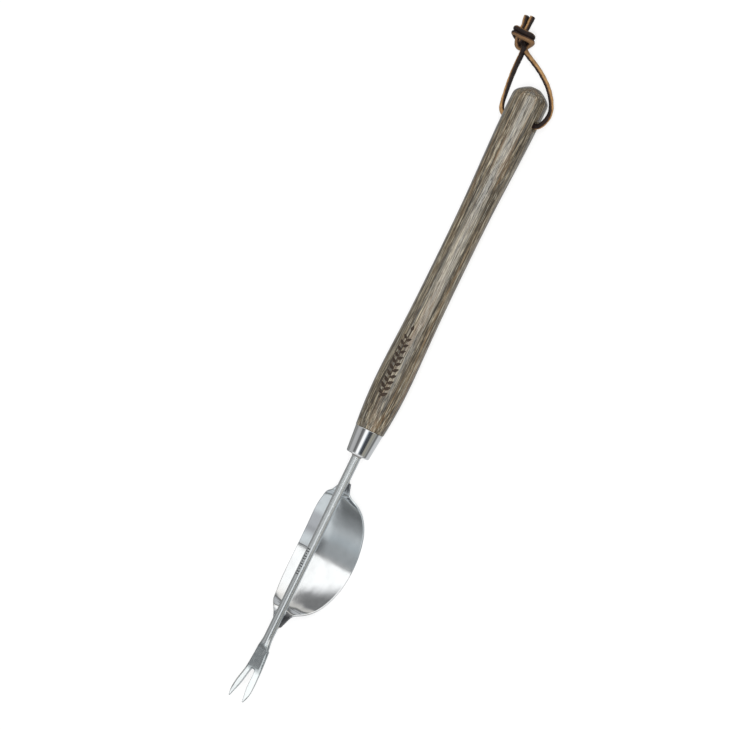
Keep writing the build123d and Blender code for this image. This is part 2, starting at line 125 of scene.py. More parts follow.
def chord_path(points, step):
    """Even steps of about `step` mm along a smooth curve: positions, and parameter 0..n-1."""
    points = np.asarray(points, float)
    knots = chords(points, power=0.5)
    fine = np.linspace(knots[0], knots[-1], 4000)
    length = chords(natural(knots, points, fine))
    steps = max(8, int(round(length[-1] / step)))
    even = np.interp(np.linspace(0, length[-1], steps + 1), length, fine)
    return natural(knots, points, even), np.interp(even, knots, np.arange(len(points)))


def rounded(profile, radii, steps):
    """Rounds the inner corners of a polyline. radii maps a corner's index to its radius."""
    out = []
    for i, corner in enumerate(profile):
        radius = radii.get(i, 0)
        if radius <= 0 or i == 0 or i == len(profile) - 1:
            out.append(corner)
            continue
        before, middle, after = (np.array(profile[k], float) for k in (i - 1, i, i + 1))
        back, ahead = before - middle, after - middle
        back_len, ahead_len = np.linalg.norm(back), np.linalg.norm(ahead)
        back, ahead = back / back_len, ahead / ahead_len
        half = math.acos(max(-1, min(1, float(back @ ahead)))) / 2
        cut = min(radius / math.tan(half), back_len * 0.49, ahead_len * 0.49)
        radius = cut * math.tan(half)
        inward = (back + ahead) / np.linalg.norm(back + ahead)
        centre = middle + inward * math.hypot(cut, radius)
        first, last = middle + back * cut - centre, middle + ahead * cut - centre
        start = math.atan2(first[1], first[0])
        turn = math.atan2(last[1], last[0]) - start
        turn = (turn + math.pi) % (2 * math.pi) - math.pi
        for k in range(steps + 1):
            angle = start + turn * k / steps
            out.append((centre[0] + radius * math.cos(angle),
                        centre[1] + radius * math.sin(angle)))
    return out


# ------------------------------------------------------------------ meshes
def add_object(name, data):
    piece = bpy.data.objects.new(name, data)
    COLLECTION.objects.link(piece)
    return piece


def shade(piece, sharp=None):
    """Smooth shading; edges steeper than `sharp` degrees are marked sharp."""
    work = bmesh.new()
    work.from_mesh(piece.data)
    for face in work.faces:
        face.smooth = True
    if sharp is not None:
        limit = math.radians(sharp)
        for edge in work.edges:
            if len(edge.link_faces) == 2:
                edge.smooth = edge.calc_face_angle(0.0) < limit
    work.to_mesh(piece.data)
    work.free()


def make_mesh(name, verts, faces, uvs=None, sharp=None):
    """A shaded mesh object from verts in mm; uvs holds one list of corners per face."""
    mesh = bpy.data.meshes.new(name)
    mesh.from_pydata([(x * MM_TO_M, y * MM_TO_M, z * MM_TO_M) for x, y, z in verts], [],
                     [list(face) for face in faces])
    mesh.update()
    piece = add_object(name, mesh)
    work = bmesh.new()
    work.from_mesh(mesh)
    if uvs is not None:
        layer = work.loops.layers.uv.new("UVMap")
        work.faces.ensure_lookup_table()
        for face, corners in zip(work.faces, uvs):
            for loop, corner in zip(face.loops, corners):
                loop[layer].uv = corner
    bmesh.ops.recalc_face_normals(work, faces=work.faces)
    work.to_mesh(mesh)
    work.free()
    shade(piece, sharp)
    return piece


def lathe(name, profile, segs, sharp, closed=False, wobble=lambda x, angle: 0.0, arc=None):
    """Turns a profile [(x, radius), ...] about the shaft axis.

    Points at radius 0 become poles; a closed profile is a ring. arc=(start, stop) in degrees
    makes a capped part-turn (0 is +Y, 90 is +Z). wobble(x, angle) is added to the radius.
    """
    if arc is None:
        angles = [2 * math.pi * j / segs for j in range(segs)]
    else:
        start, stop = arc
        angles = [math.radians(start + (stop - start) * j / segs) for j in range(segs + 1)]
    verts, faces, rings = [], [], []
    for x, radius in profile:
        if radius <= 1e-6:
            rings.append([len(verts)] * len(angles))
            verts.append((x, 0.0, SHAFT_Z))
            continue
        rings.append(list(range(len(verts), len(verts) + len(angles))))
        for angle in angles:
            reach = radius + wobble(x, angle)
            verts.append((x, reach * math.cos(angle), SHAFT_Z + reach * math.sin(angle)))
    for ring, after in zip(rings, rings[1:] + (rings[:1] if closed else [])):
        for j in range(segs):
            k = (j + 1) % len(angles)
            corners = list(dict.fromkeys([ring[j], ring[k], after[k], after[j]]))
            if len(corners) >= 3:
                faces.append(corners)
    if arc is not None:
        faces.append([ring[0] for ring in rings])
        faces.append([ring[-1] for ring in reversed(rings)])
    return make_mesh(name, verts, faces, sharp=sharp)


def apply_modifiers(piece):
    graph = bpy.context.evaluated_depsgraph_get()
    mesh = bpy.data.meshes.new_from_object(piece.evaluated_get(graph))
    piece.modifiers.clear()
    old = piece.data
    piece.data = mesh
    bpy.data.meshes.remove(old)


def give(piece, material, body, node=None):
    """Dresses a piece and tells the frame which body it rides on and what it stands for."""
    piece.data.materials.clear()
    piece.data.materials.append(material)
    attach(piece, body)
    if node:
        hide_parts(node)
    return piece


# ------------------------------------------------------------------ shader nodes
class Wire:
    """A node output; arithmetic on it adds math nodes."""

    def __init__(self, nodes, socket):
        self.nodes, self.socket = nodes, socket

    def __add__(self, other):
        return self.nodes.math("ADD", self, other)

    def __sub__(self, other):
        return self.nodes.math("SUBTRACT", self, other)

    def __rsub__(self, other):
        return self.nodes.math("SUBTRACT", other, self)

    def __mul__(self, other):
        return self.nodes.math("MULTIPLY", self, other)

    def __abs__(self):
        return self.nodes.math("ABSOLUTE", self)


def rgba(color):
    """Fills a colour tuple up to four values; wires pass through."""
    return color + (1,) * (4 - len(color)) if isinstance(color, tuple) else color


class Nodes:
    """Short ways to add nodes to a tree. Inputs take wires or plain values."""

    def __init__(self, tree):
        self.tree = tree
        tree.nodes.clear()

    def put(self, socket, value):
        if isinstance(value, Wire):
            self.tree.links.new(value.socket, socket)
        else:
            socket.default_value = value

    def new(self, kind, inputs={}, **props):
        node = self.tree.nodes.new(kind)
        for name, value in props.items():
            setattr(node, name, value)
        for key, value in inputs.items():
            self.put(node.inputs[key], value)
        return node

    def wires(self, node, *keys):
        return [Wire(self, node.outputs[key]) for key in keys]

    def add(self, kind, inputs={}, output=0, **props):
        return self.wires(self.new(kind, inputs, **props), output)[0]

    def math(self, operation, first, second=0.0, clamp=False):
        return self.add("ShaderNodeMath", {0: first, 1: second, 2: 0.0},
                        operation=operation, use_clamp=clamp)

    def smooth(self, value, span, to=(0.0, 1.0)):
        """Smooth step of the value over a span, which may run downwards."""
        return self.add("ShaderNodeMapRange", {
            "Value": value, "From Min": span[0], "From Max": span[1],
            "To Min": to[0], "To Max": to[1]}, interpolation_type="SMOOTHSTEP")

    def scale(self, vector, scale, rotation=(0, 0, 0)):
        return self.add("ShaderNodeMapping",
                        {"Vector": vector, "Scale": scale, "Rotation": rotation})

    def noise(self, vector, detail=3.0, rough=0.5, distort=0.0):
        return self.add("ShaderNodeTexNoise", {
            "Vector": vector, "Scale": 1.0, "Detail": detail, "Roughness": rough,
            "Distortion": distort})

    def xyz(self, vector):
        return self.wires(self.new("ShaderNodeSeparateXYZ", {0: vector}), 0, 1, 2)

    def vec(self, x, y, z):
        return self.add("ShaderNodeCombineXYZ", {0: x, 1: y, 2: z})

    def ramp(self, value, stops):
        """Colour ramp from [(position, colour), ...]."""
        node = self.new("ShaderNodeValToRGB", {0: value})
        elements = node.color_ramp.elements
        elements.remove(elements[-1])
        elements[0].position, elements[0].color = stops[0][0], rgba(stops[0][1])
        for position, color in stops[1:]:
            elements.new(position).color = rgba(color)
        return self.wires(node, 0)[0]

    def mix(self, factor, base, over, mode="MIX"):
        return self.add("ShaderNodeMix", {"Factor": factor, "A": rgba(base), "B": rgba(over)},
                        output="Result", data_type="RGBA", blend_type=mode)

    def glow(self, kind, color, strength=1.0):
        """An Emission or Background shader."""
        return self.add(kind, {0: rgba(color), 1: strength})

    def mix_shader(self, factor, first, second):
        return self.add("ShaderNodeMixShader", {0: factor, 1: first, 2: second})


class Mat(Nodes):
    """A material around one Principled shader."""

    SOCKETS = {"color": "Base Color", "metal": "Metallic", "rough": "Roughness",
               "normal": "Normal", "spec": "Specular IOR Level", "coat": "Coat Weight",
               "coat_rough": "Coat Roughness"}

    def __init__(self, name):
        self.material = bpy.data.materials.new(name)
        self.material.use_nodes = True
        super().__init__(self.material.node_tree)
        self.bsdf = self.new("ShaderNodeBsdfPrincipled")
        self.shader = self.wires(self.bsdf, 0)[0]
        self.output = self.new("ShaderNodeOutputMaterial", {0: self.shader})
        self.obj, self.uv = self.wires(self.new("ShaderNodeTexCoord"), "Object", "UV")

    def grain(self, cycles, rotation=(0, 0, 0), **looks):
        """Noise over the object, with its cycles per metre along X, Y and Z."""
        return self.noise(self.scale(self.obj, cycles, rotation), **looks)

    def normal(self):
        return self.add("ShaderNodeNewGeometry", output="Normal")

    def leaned_normal(self, lean):
        """The surface normal pushed over by a vector, which bends the reflections."""
        pushed = self.add("ShaderNodeVectorMath", {0: self.normal(), 1: lean}, operation="ADD")
        return self.add("ShaderNodeVectorMath", {0: pushed}, operation="NORMALIZE")

    def bump(self, height, strength, dist, normal=None):
        inputs = {"Strength": strength, "Distance": dist, "Height": height}
        if normal is not None:
            inputs["Normal"] = normal
        return self.add("ShaderNodeBump", inputs)

    def surface(self, **looks):
        """Sets the Principled inputs and returns the finished material."""
        for name, value in looks.items():
            self.put(self.bsdf.inputs[self.SOCKETS[name]], value)
        return self.material


def srgb(*channels):
    """Linear colour from 0-255 display values."""
    return tuple(((c / 255 + 0.055) / 1.055) ** 2.4 if c > 10 else c / 255 / 12.92
                 for c in channels)


def dim(color, factor):
    return tuple(c * factor for c in color)


# ------------------------------------------------------------------ materials
def mat_wood():
    """Grey-brown stained ash: lengthways rings, fine streaks, open pores, a painted silvery highlight
    and painted grey edge sheen.
    """
    mat = Mat("stained_ash")
    x, y, z = mat.xyz(mat.scale(mat.obj, (1000, 1000, 1000)))       # mm
    # slow wander of the grain along the stick, then distance from the tree's heart
    wander = mat.noise(mat.vec(x * 0.006, y * 0.04, z * 0.04), detail=1.0)
    sway = (wander - 0.5) * 1.0
    heart_y = y + 31.0 + sway
    heart_z = z - 86.0 + sway * 0.6
    ring_r = mat.math("SQRT", heart_y * heart_y + heart_z * heart_z)
    jitter = mat.noise(mat.vec(x * 0.006, ring_r * 0.22, 3.1), detail=3.0)
    rings = mat.math("FRACT", ring_r * 0.36 + jitter * 1.5)
    early = mat.smooth(rings, (0.0, 0.10)) * mat.smooth(rings, (0.62, 0.22))

    def streak(along, across, seed, detail=3.0, rough=0.55):
        """Noise stretched along X; along and across are cycles per mm."""
        return mat.noise(mat.vec(x * along + seed, heart_y * across, heart_z * across),
                         detail=detail, rough=rough)

    broad = streak(0.006, 0.20, seed=1.7, detail=2.0)
    lines = streak(0.006, 0.80, seed=9.3, detail=2.0, rough=0.6)
    mid = streak(0.020, 1.30, seed=33.0, detail=2.0, rough=0.6)
    fine = streak(0.085, 1.9, seed=21.0, rough=0.65)
    pores = streak(0.15, 0.95, seed=40.0, detail=1.5)
    hair = streak(0.07, 2.2, seed=63.0, detail=1.0, rough=0.5)
    # weighted streaks, then contrast about their middle
    tone = lines * 0.55 + mid * 0.95 + fine * 0.80 + broad * 0.25 - early * 0.10
    tone = mat.math("ADD", (tone - 1.25) * 2.6, 0.42, clamp=True)
    color = mat.ramp(tone, [
        (0.00, srgb(36, 31, 25)), (0.20, srgb(60, 53, 43)), (0.42, srgb(86, 77, 63)),
        (0.62, srgb(106, 96, 80)), (0.82, srgb(130, 121, 104)), (1.00, srgb(164, 157, 142))])
    # cool and warm drift
    drift = streak(0.006, 0.35, seed=77.0, detail=2.0)
    color = mat.mix(mat.smooth(drift, (0.52, 0.68), to=(0.0, 0.50)), color, srgb(90, 93, 95))
    color = mat.mix(mat.smooth(drift, (0.48, 0.32), to=(0.0, 0.45)), color, srgb(114, 88, 60))
    # open pores: short dark dashes, densest in the early wood
    dash = mat.smooth(pores, (0.57, 0.66)) * (early * 0.55 + 0.45)
    dark = mat.smooth(hair, (0.56, 0.68)) * 0.40
    groove = mat.math("MAXIMUM", dash, dark)
    color = mat.mix(groove * 0.76, color, srgb(34, 28, 21))
    # pale limed flecks
    fleck = mat.smooth(streak(0.07, 1.1, seed=91.0, detail=1.5), (0.58, 0.68))
    color = mat.mix(fleck * 0.62, color, srgb(160, 156, 145))
    # a few long heavy grain lines, where the noise crosses a level
    line = streak(0.004, 0.50, seed=5.2, detail=1.0)
    heavy = mat.smooth(abs(line - 0.47), (0.014, 0.0)) * 0.62
    color = mat.mix(heavy, color, srgb(44, 36, 28))
    # handling grime
    grime = mat.grain((18, 60, 60), detail=4.0, rough=0.6)
    color = mat.mix(mat.smooth(grime, (0.50, 0.78), to=(0.0, 0.30)), color, srgb(96, 88, 76),
                    "MULTIPLY")
    # the butt is darker; the whole is warmed slightly
    color = mat.mix(mat.smooth(x, (427.0, 432.0), to=(0.0, 0.16)), color, srgb(84, 74, 60))
    color = mat.mix(1.0, color, (1.03, 1.0, 0.92), "MULTIPLY")
    # painted sheen: grey edges, paler where they face +Y and darker where they face -Y; then a painted
    # silvery highlight on the side that faces up and to -Y
    _, normal_y, normal_z = mat.xyz(mat.normal())
    top = normal_y * -0.5 + normal_z * 0.866
    painted_edge_sheen = (mat.smooth(top, (0.50, 0.12), to=(0.0, 0.50))
             * mat.smooth(top, (-0.60, -0.15)))
    color = mat.mix(painted_edge_sheen, color, mat.mix(mat.smooth(normal_y, (-0.2, 0.2)),
                                          srgb(76, 77, 79), srgb(136, 137, 139)))
    # painted highlight: a pale silvery stripe where the grip faces up and to -Y, broken by the pores
    painted_highlight = (mat.smooth(top, (0.935, 0.992))
           * mat.smooth(x, (140.0, 270.0), to=(0.30, 1.0)))
    painted_highlight = painted_highlight * (mat.smooth(fine, (0.36, 0.62)) * 0.42 + 0.06)
    painted_highlight = painted_highlight * (1.0 - groove * 0.7)
    color = mat.mix(painted_highlight, color, srgb(176, 174, 167))
    rough = fine * 0.20 + 0.20 + groove * 0.30 + grime * 0.08
    height = fine * 0.60 - groove * 0.9 - heavy * 0.6 + mid * 0.25
    return mat.surface(color=color, rough=rough, spec=0.50, coat=0.17, coat_rough=0.26,
                       normal=mat.bump(height, strength=0.34, dist=0.00020))


def mat_burnt():
    """Burnt-in ornament: dark brown char with paler patches."""
    mat = Mat("burnt_wood")
    char = mat.grain((900, 3200, 3200), detail=4.0, rough=0.6)
    patch = mat.grain((260,) * 3, detail=3.0)
    color = mat.ramp(char, [
        (0.2, srgb(22, 16, 12)), (0.55, srgb(42, 32, 24)), (0.85, srgb(70, 57, 45))])
    color = mat.mix(mat.smooth(patch, (0.45, 0.70), to=(0.0, 0.35)), color, srgb(64, 52, 41))
    return mat.surface(color=color, rough=char * 0.3 + 0.5, spec=0.35,
                       normal=mat.bump(char, strength=0.4, dist=0.0001))


def plain_finish(mat, tint, color, rough):
    return color, 1.0, rough, None


def bar_finish(mat, tint, color, rough):
    """Duller round bar from x = -83 mm on, and a painted darker reflection on the flat at the root of
    the fork.
    """
    x, _, _ = mat.xyz(mat.obj)
    on_bar = mat.smooth(x, (-0.0900, -0.0830))
    metal = 1.0 - on_bar * 0.09
    rough = rough + on_bar * mat.smooth(x, (-0.055, 0.030), to=(-0.015, 0.050))
    color = mat.mix(on_bar * 0.55, color, dim(tint, 0.72))
    # painted darker reflection: the flat at the root of the fork is darkened, mottled by noise
    flat = mat.smooth(x, (-0.1140, -0.1100)) * mat.smooth(x, (-0.0850, -0.0890))
    patch = mat.grain((260, 420, 420), detail=3.0, rough=0.6)
    flat = flat * mat.smooth(patch, (0.30, 0.65), to=(0.65, 1.0))
    flat_painted_dark = tuple(c * share for c, share in zip(tint, (0.53, 0.555, 0.565)))
    color = mat.mix(flat, color, flat_painted_dark)
    return color, metal, rough, mat.leaned_normal(mat.vec(0.0, on_bar * 0.13, 0.0))


def sheet_finish(mat, tint, color, rough):
    """Painted shade on the necks, a painted darker reflection on the +Y side, and slow press marks."""
    x, y, _ = mat.xyz(mat.obj)
    # painted shade: the necks turn nearly black where they curl up under the bar, starting nearer the
    # middle on the +Y side
    neck_shade_jitter = mat.grain((420,) * 3, detail=4.0, rough=0.6)
    neck_painted_shade = abs(x) * 1000.0 + neck_shade_jitter * 7.0                 # mm from the middle, made uneven
    neck_painted_shade = neck_painted_shade + mat.smooth(y, (0.008, 0.014), to=(0.0, 3.2))
    color = mat.mix(mat.smooth(neck_painted_shade, (58.0, 63.6), to=(0.0, 0.90)), color,
                    (0.10, 0.105, 0.115))
    # the +X half is a shade cooler
    color = mat.mix(mat.smooth(x, (-0.004, 0.004)), color, (0.955, 1.01, 1.03), "MULTIPLY")
    # painted darker reflection: a bluish-grey patch on the +Y side, between about x = 6 and 34 mm
    painted_dark_reflection = mat.smooth(x, (0.006, 0.014)) * mat.smooth(x, (0.034, 0.027))
    painted_dark_reflection = painted_dark_reflection * mat.smooth(y, (0.010, 0.016))
    color = mat.mix(painted_dark_reflection * 0.85, color, (0.44, 0.455, 0.48))
    # lean of the normal towards +X: the -X half, its outer rim, and a step near x = 0
    x, y, _ = mat.xyz(mat.obj)
    lean = y * y * mat.smooth(y, (0.0, -0.010), to=(110.0, 185.0))
    lean = lean * mat.smooth(x, (0.0, -0.020))
    lean = lean + (mat.smooth(x, (-0.038, -0.046))
                   * mat.smooth(y, (-0.005, -0.014), to=(0.04, -0.12)))
    step = mat.smooth(x, (-0.0009, -0.0002)) * mat.smooth(x, (0.017, 0.006))
    lean = lean - step * mat.smooth(y, (0.008, 0.016)) * 0.165
    roll = mat.math("MAXIMUM", y, -0.007) * -4.2
    slow = mat.grain((30, 40, 40), detail=2.0, distort=0.3)
    normal = mat.bump(slow, strength=0.45, dist=0.0007,
                      normal=mat.leaned_normal(mat.vec(lean, roll, 0.0)))
    return color, 1.0, rough, normal


def mat_steel(name, tint, rough, rough_var, brush, brush_depth, smudge=0.10,
              finish=plain_finish):
    """Stainless steel with polishing lines, faint smudges and fine scratches.

    brush is the cycles per metre of the polishing lines, brush_depth their relief.
    """
    mat = Mat(name)
    lines = mat.grain(brush, detail=3.0, rough=0.65)
    cloud = mat.grain((55, 80, 80), detail=4.0, rough=0.55)
    speck = mat.grain((1500,) * 3, detail=2.0)
    score = mat.grain((240, 4200, 1900), rotation=(0.3, 0.5, 0.6), detail=1.0, rough=0.4,
                      distort=0.4)
    scratch = mat.smooth(abs(score - 0.5), (0.008, 0.0))
    color = mat.mix(mat.smooth(cloud, (0.35, 0.70)), tint, dim(tint, 1 - smudge))
    color = mat.mix(scratch * 0.22, color, tuple(min(1.0, c * 1.18) for c in tint))
    gloss = (lines - 0.5) * rough_var + rough
    gloss = mat.math("ADD", gloss, (cloud - 0.5) * (rough_var * 1.4), clamp=True)
    gloss = gloss + scratch * 0.06
    height = (lines * brush_depth + speck * (brush_depth * 0.25)
              - scratch * (brush_depth * 1.2))
    color, metal, gloss, normal = finish(mat, tint, color, gloss)
    return mat.surface(color=color, metal=metal, rough=gloss,
                       normal=mat.bump(height, strength=0.30, dist=0.00004, normal=normal))


def mat_etch():
    """Stamped and darkened steel in the bottom of a mark."""
    mat = Mat("stamped_steel")
    pits = mat.grain((2600,) * 3, detail=3.0, rough=0.6)
    color = mat.ramp(pits, [(0.3, (0.030, 0.031, 0.034)), (0.7, (0.075, 0.076, 0.080))])
    return mat.surface(color=color, metal=0.45, rough=pits * 0.25 + 0.52, spec=0.25,
                       normal=mat.bump(pits, strength=0.4, dist=0.00005))


def mat_weld():
    """Weld bead: duller, slightly heat-tinted steel."""
    mat = Mat("weld_steel")
    pits = mat.grain((1400,) * 3, detail=4.0, rough=0.6)
    heat = mat.grain((300,) * 3, detail=2.0)
    color = mat.ramp(heat, [
        (0.3, (0.34, 0.34, 0.35)), (0.55, (0.46, 0.44, 0.41)), (0.75, (0.40, 0.33, 0.25))])
    return mat.surface(color=color, metal=1.0, rough=pits * 0.3 + 0.28,
                       normal=mat.bump(pits, strength=0.5, dist=0.00018))


def mat_resin():
    mat = Mat("resin")
    cloud = mat.grain((500,) * 3, detail=4.0, rough=0.6)
    color = mat.ramp(cloud, [(0.3, srgb(120, 88, 40)), (0.7, srgb(164, 128, 70))])
    return mat.surface(color=color, rough=cloud * 0.2 + 0.35,
                       normal=mat.bump(cloud, strength=0.3, dist=0.0001))


def mat_thong():
    """Leather thong: tan grain face, dark waxed face, a fibrous cut edge between them.

    UV.x runs along the thong in cm, UV.y once around it, 0.25 being the middle of the tan face.
    """
    mat = Mat("thong")
    along, around, _ = mat.xyz(mat.uv)
    strip = mat.vec(along * 1.0, around * 1.0, 0.0)
    fray = mat.noise(mat.scale(strip, (3.0, 4.0, 1.0)), detail=4.0, rough=0.6)
    side = mat.math("SINE", around * (2 * math.pi)) + (fray - 0.5) * 0.55
    tan_face = mat.smooth(side, (0.02, 0.26))
    grain = mat.grain((2100,) * 3, detail=4.0, rough=0.6)
    blotch = mat.grain((210,) * 3, detail=4.0, rough=0.55)
    fibre = mat.noise(mat.scale(strip, (2.0, 26.0, 1.0)), detail=3.0, rough=0.6)
    tan = mat.ramp(blotch * 0.6 + fibre * 0.4, [
        (0.28, srgb(112, 84, 54)), (0.45, srgb(146, 112, 72)), (0.60, srgb(168, 132, 88)),
        (0.78, srgb(190, 156, 110))])
    waxed = mat.ramp(blotch, [
        (0.3, srgb(14, 11, 10)), (0.6, srgb(30, 21, 19)), (0.8, srgb(52, 37, 28))])
    # painted shade: the tan face is darker in the knot, where the strands crowd
    x, _, _ = mat.xyz(mat.obj)
    knot_painted_shade = (mat.smooth(x, (0.4545, 0.4620), to=(0.0, 0.76))
               * mat.smooth(x, (0.4795, 0.4735), to=(0.25, 1.0)))
    tan = mat.mix(knot_painted_shade, tan, srgb(90, 66, 46))
    color = mat.mix(tan_face, waxed, tan)
    color = mat.mix(mat.smooth(grain, (0.55, 0.75), to=(0.0, 0.30)), color, srgb(70, 48, 34))
    # burnished edge between the faces
    edge = mat.smooth(abs(side), (0.22, 0.02)) * 0.45
    color = mat.mix(edge, color, srgb(92, 64, 42))
    return mat.surface(
        color=color, rough=grain * 0.25 + 0.38, spec=0.22,
        normal=mat.bump(grain * 0.6 + fibre * 0.7, strength=0.45, dist=0.00016))


WOOD, BURNT, ETCH, WELD = mat_wood(), mat_burnt(), mat_etch(), mat_weld()
RESIN, THONG = mat_resin(), mat_thong()
STEEL_SHAFT = mat_steel("shaft_steel", tint=(0.715, 0.75, 0.765), rough=0.19, rough_var=0.08,
                        brush=(30, 1300, 1300), brush_depth=0.09, finish=bar_finish)
STEEL_SHEET = mat_steel("sheet_steel", tint=(0.72, 0.735, 0.75), rough=0.115, rough_var=0.08,
                        brush=(1820, 42, 1820), brush_depth=0.30, finish=sheet_finish)
STEEL_FERRULE = mat_steel("polished_steel", tint=(0.82, 0.83, 0.84), rough=0.05,
                          rough_var=0.04, brush=(5200, 260, 260), brush_depth=0.20,
                          smudge=0.05)

# ------------------------------------------------------------------ handle
# (x, radius) along the grip
GRIP = np.array([
    (113.4, 12.82), (121.3, 13.60), (129.7, 14.28), (138.1, 14.78), (146.5, 15.10),
    (156.0, 15.25), (166.0, 15.20), (180.2, 14.88), (197.0, 14.38), (213.9, 13.92),
    (230.7, 13.65), (256.0, 13.50), (281.2, 13.45), (303.0, 13.55), (319.0, 13.80),
    (336.0, 14.22), (352.0, 14.78), (368.0, 15.34), (384.0, 15.84), (402.0, 16.18),
    (412.0, 16.20), (420.5, 16.10)])
GRIP_START, GRIP_END = GRIP[0, 0], GRIP[-1, 0]
# (x, radius) over the rounded end, then the flat butt
CROWN = [(420.5, 16.08), (422.6, 15.90), (424.4, 15.30), (426.1, 14.10), (428.4, 11.50),
         (430.6, 8.30), (432.30, 5.2)]
BUTT = [(432.38, 5.0), (432.40, 4.2), (432.40, 2.0), (432.40, 0.0)]
# (x, radius) of the tang bore, and of the wood inside the ferrule up to the grip
BORE = [(209.76, 0.0), (207.0, 4.6), (150.0, 4.6)]
SPIGOT = [(91.72, 4.6), (91.72, 8.4), (92.5, 9.15), (FERRULE_END + 0.02, 11.18),
          (FERRULE_END + 0.02, 12.52), (113.4, 12.82)]
# (distance from the axis, hole radius): straight bore, then its eased mouth
HOLE_MOUTH = [(8.4, 4.2), (12.6, 4.2), (13.4, 4.24), (14.2, 4.38), (14.8, 4.58), (15.3, 4.88),
              (15.7, 5.22), (16.1, 5.72), (16.5, 6.5), (22.0, 17.0)]
# hand-turned unevenness: depth, lobes around, radians per mm of x, phase
TURNING_WAVES = [(0.030, 3, 0.031, 0.0), (0.022, 5, -0.047, 1.3), (0.012, 2, 0.42, 0.0)]


def grip_radius(x):
    return natural(GRIP[:, 0], GRIP[:, 1], np.clip(x, GRIP_START, GRIP_END))


def turning_wobble(x, angle):
    if x < 113.5 or x > 431.5:
        return 0.0
    return sum(depth * math.sin(lobes * angle + x * rate + phase)
               for depth, lobes, rate, phase in TURNING_WAVES)


def hole_cutter(segs=96):
    """Spindle along Y that cuts the cross hole and both of its mouths."""
    stations = [(-y, radius) for y, radius in reversed(HOLE_MOUTH)] + HOLE_MOUTH
    reach = HOLE_MOUTH[-1][0]
    verts, faces, rows = [(HOLE_X, -reach, SHAFT_Z)], [], []
    for y, radius in stations:
        rows.append(range(len(verts), len(verts) + segs))
        for j in range(segs):
            angle = 2 * math.pi * j / segs
            verts.append((HOLE_X + radius * math.cos(angle), y,
                          SHAFT_Z + radius * math.sin(angle)))
    verts.append((HOLE_X, reach, SHAFT_Z))
    for j in range(segs):
        k = (j + 1) % segs
        faces.append([0, rows[0][k], rows[0][j]])
        faces.append([len(verts) - 1, rows[-1][j], rows[-1][k]])
        for row, after in zip(rows, rows[1:]):
            faces.append([row[j], row[k], after[k], after[j]])
    return make_mesh("hole_cutter", verts, faces)


def build_handle():
    stations = np.linspace(GRIP_START, GRIP_END, 330)
    body = [(float(x), float(radius)) for x, radius in zip(stations, grip_radius(stations))]
    crown = [(float(x), float(radius)) for x, radius in resample(CROWN, 34)[1:]]
    spigot = rounded(SPIGOT, {1: 0.4, 2: 0.4, 4: 0.25}, steps=3)
    piece = lathe("handle_wood", BORE + spigot[:-1] + body + crown + BUTT, segs=160, sharp=35,
                  wobble=turning_wobble)
    cutter = hole_cutter()
    cut = piece.modifiers.new("hole", "BOOLEAN")
    cut.operation, cut.solver, cut.object = "DIFFERENCE", "EXACT", cutter
    apply_modifiers(piece)
    bpy.data.objects.remove(cutter)
    shade(piece, 35)
    give(piece, WOOD, "tool", "handle")


build_handle()


# ------------------------------------------------------------------ marks on the round surfaces
def on_round(name, outlines, radius_at, mid_deg, material, proud, deep):
    """Thin closed tiles wrapped on a round bar; outlines are loops of (x, arc length) in mm.

    mid_deg is the angle of arc 0 (90 is +Z); tiles reach from `deep` below to `proud` above.
    """
    verts, faces = [], []
    # (share of the outline's size, height over the surface), from the buried rim inwards
    levels = ((1.0, -deep), (1.0, proud * 0.2), (0.90, proud), (0.55, proud))

    def place(x, arc, height):
        radius = float(radius_at(x))
        angle = math.radians(mid_deg) + arc / radius
        reach = radius + height
        return (x, reach * math.cos(angle), SHAFT_Z + reach * math.sin(angle))

    for outline in outlines:
        count = len(outline)
        mid_x = sum(point[0] for point in outline) / count
        mid_arc = sum(point[1] for point in outline) / count
        base = len(verts)
        for share, height in levels:
            verts += [place(mid_x + (x - mid_x) * share, mid_arc + (arc - mid_arc) * share,
                            height) for x, arc in outline]
        top, bottom = len(verts), len(verts) + 1
        verts += [place(mid_x, mid_arc, proud), place(mid_x, mid_arc, -deep)]
        for j in range(count):
            k = (j + 1) % count
            for level in range(3):
                low = base + level * count
                high = low + count
                faces.append([low + j, low + k, high + k, high + j])
            faces.append([base + 3 * count + j, base + 3 * count + k, top])
            faces.append([base + k, base + j, bottom])
    piece = make_mesh(name, verts, faces, sharp=40)
    return give(piece, material, "tool", None)


def tile(start, end, middle, half):
    """Six-point tile between two x; middle(x) is its centre line, half its half width."""
    stations = (start, (start + end) / 2, end)
    return ([(x, middle(x) - half) for x in stations]
            + [(x, middle(x) + half) for x in reversed(stations)])


def leaf(root_x, root_arc, angle, length, width, points=22):
    """Pointed leaf outline growing from its root at an angle from +X."""
    outline = []
    half = points // 2
    for side in (1, -1):
        for i in range(half):
            t = i / half if side == 1 else 1 - i / half
            reach = side * width * 0.5 * math.sin(math.pi * t ** 0.75) ** 0.9 if 0 < t < 1 else 0
            outline.append((root_x + length * t * math.cos(angle) - reach * math.sin(angle),
                            root_arc + length * t * math.sin(angle) + reach * math.cos(angle)))
    return outline


STEM_START, STEM_END, STEM_HALF = 141.0, 203.0, 0.42


def stem_wave(x):
    return 0.9 * math.sin((x - STEM_START) * 0.10)


def build_sprig():
    """Burnt sprig on the grip: a waved stem, paired leaves and one leaf at the tip."""
    stations = np.linspace(STEM_START, STEM_END, 41)
    outlines = [tile(start, end, stem_wave, STEM_HALF)
                for start, end in zip(stations, stations[1:])]
    for i, root in enumerate(np.arange(143.5, 199.0, 5.6)):
        size = 1.06 - 0.025 * i
        for side, stagger in ((1, 0.0), (-1, 1.8)):
            x = root + stagger
            outlines.append(leaf(x, stem_wave(x) + 0.40 * side, side * math.radians(50),
                                 length=6.0 * size, width=3.0 * size))
    outlines.append(leaf(STEM_END, stem_wave(STEM_END), 0.0, length=5.6, width=2.8))
    on_round("burnt_sprig", outlines, grip_radius, 100.0, BURNT,
             proud=0.035, deep=0.12)


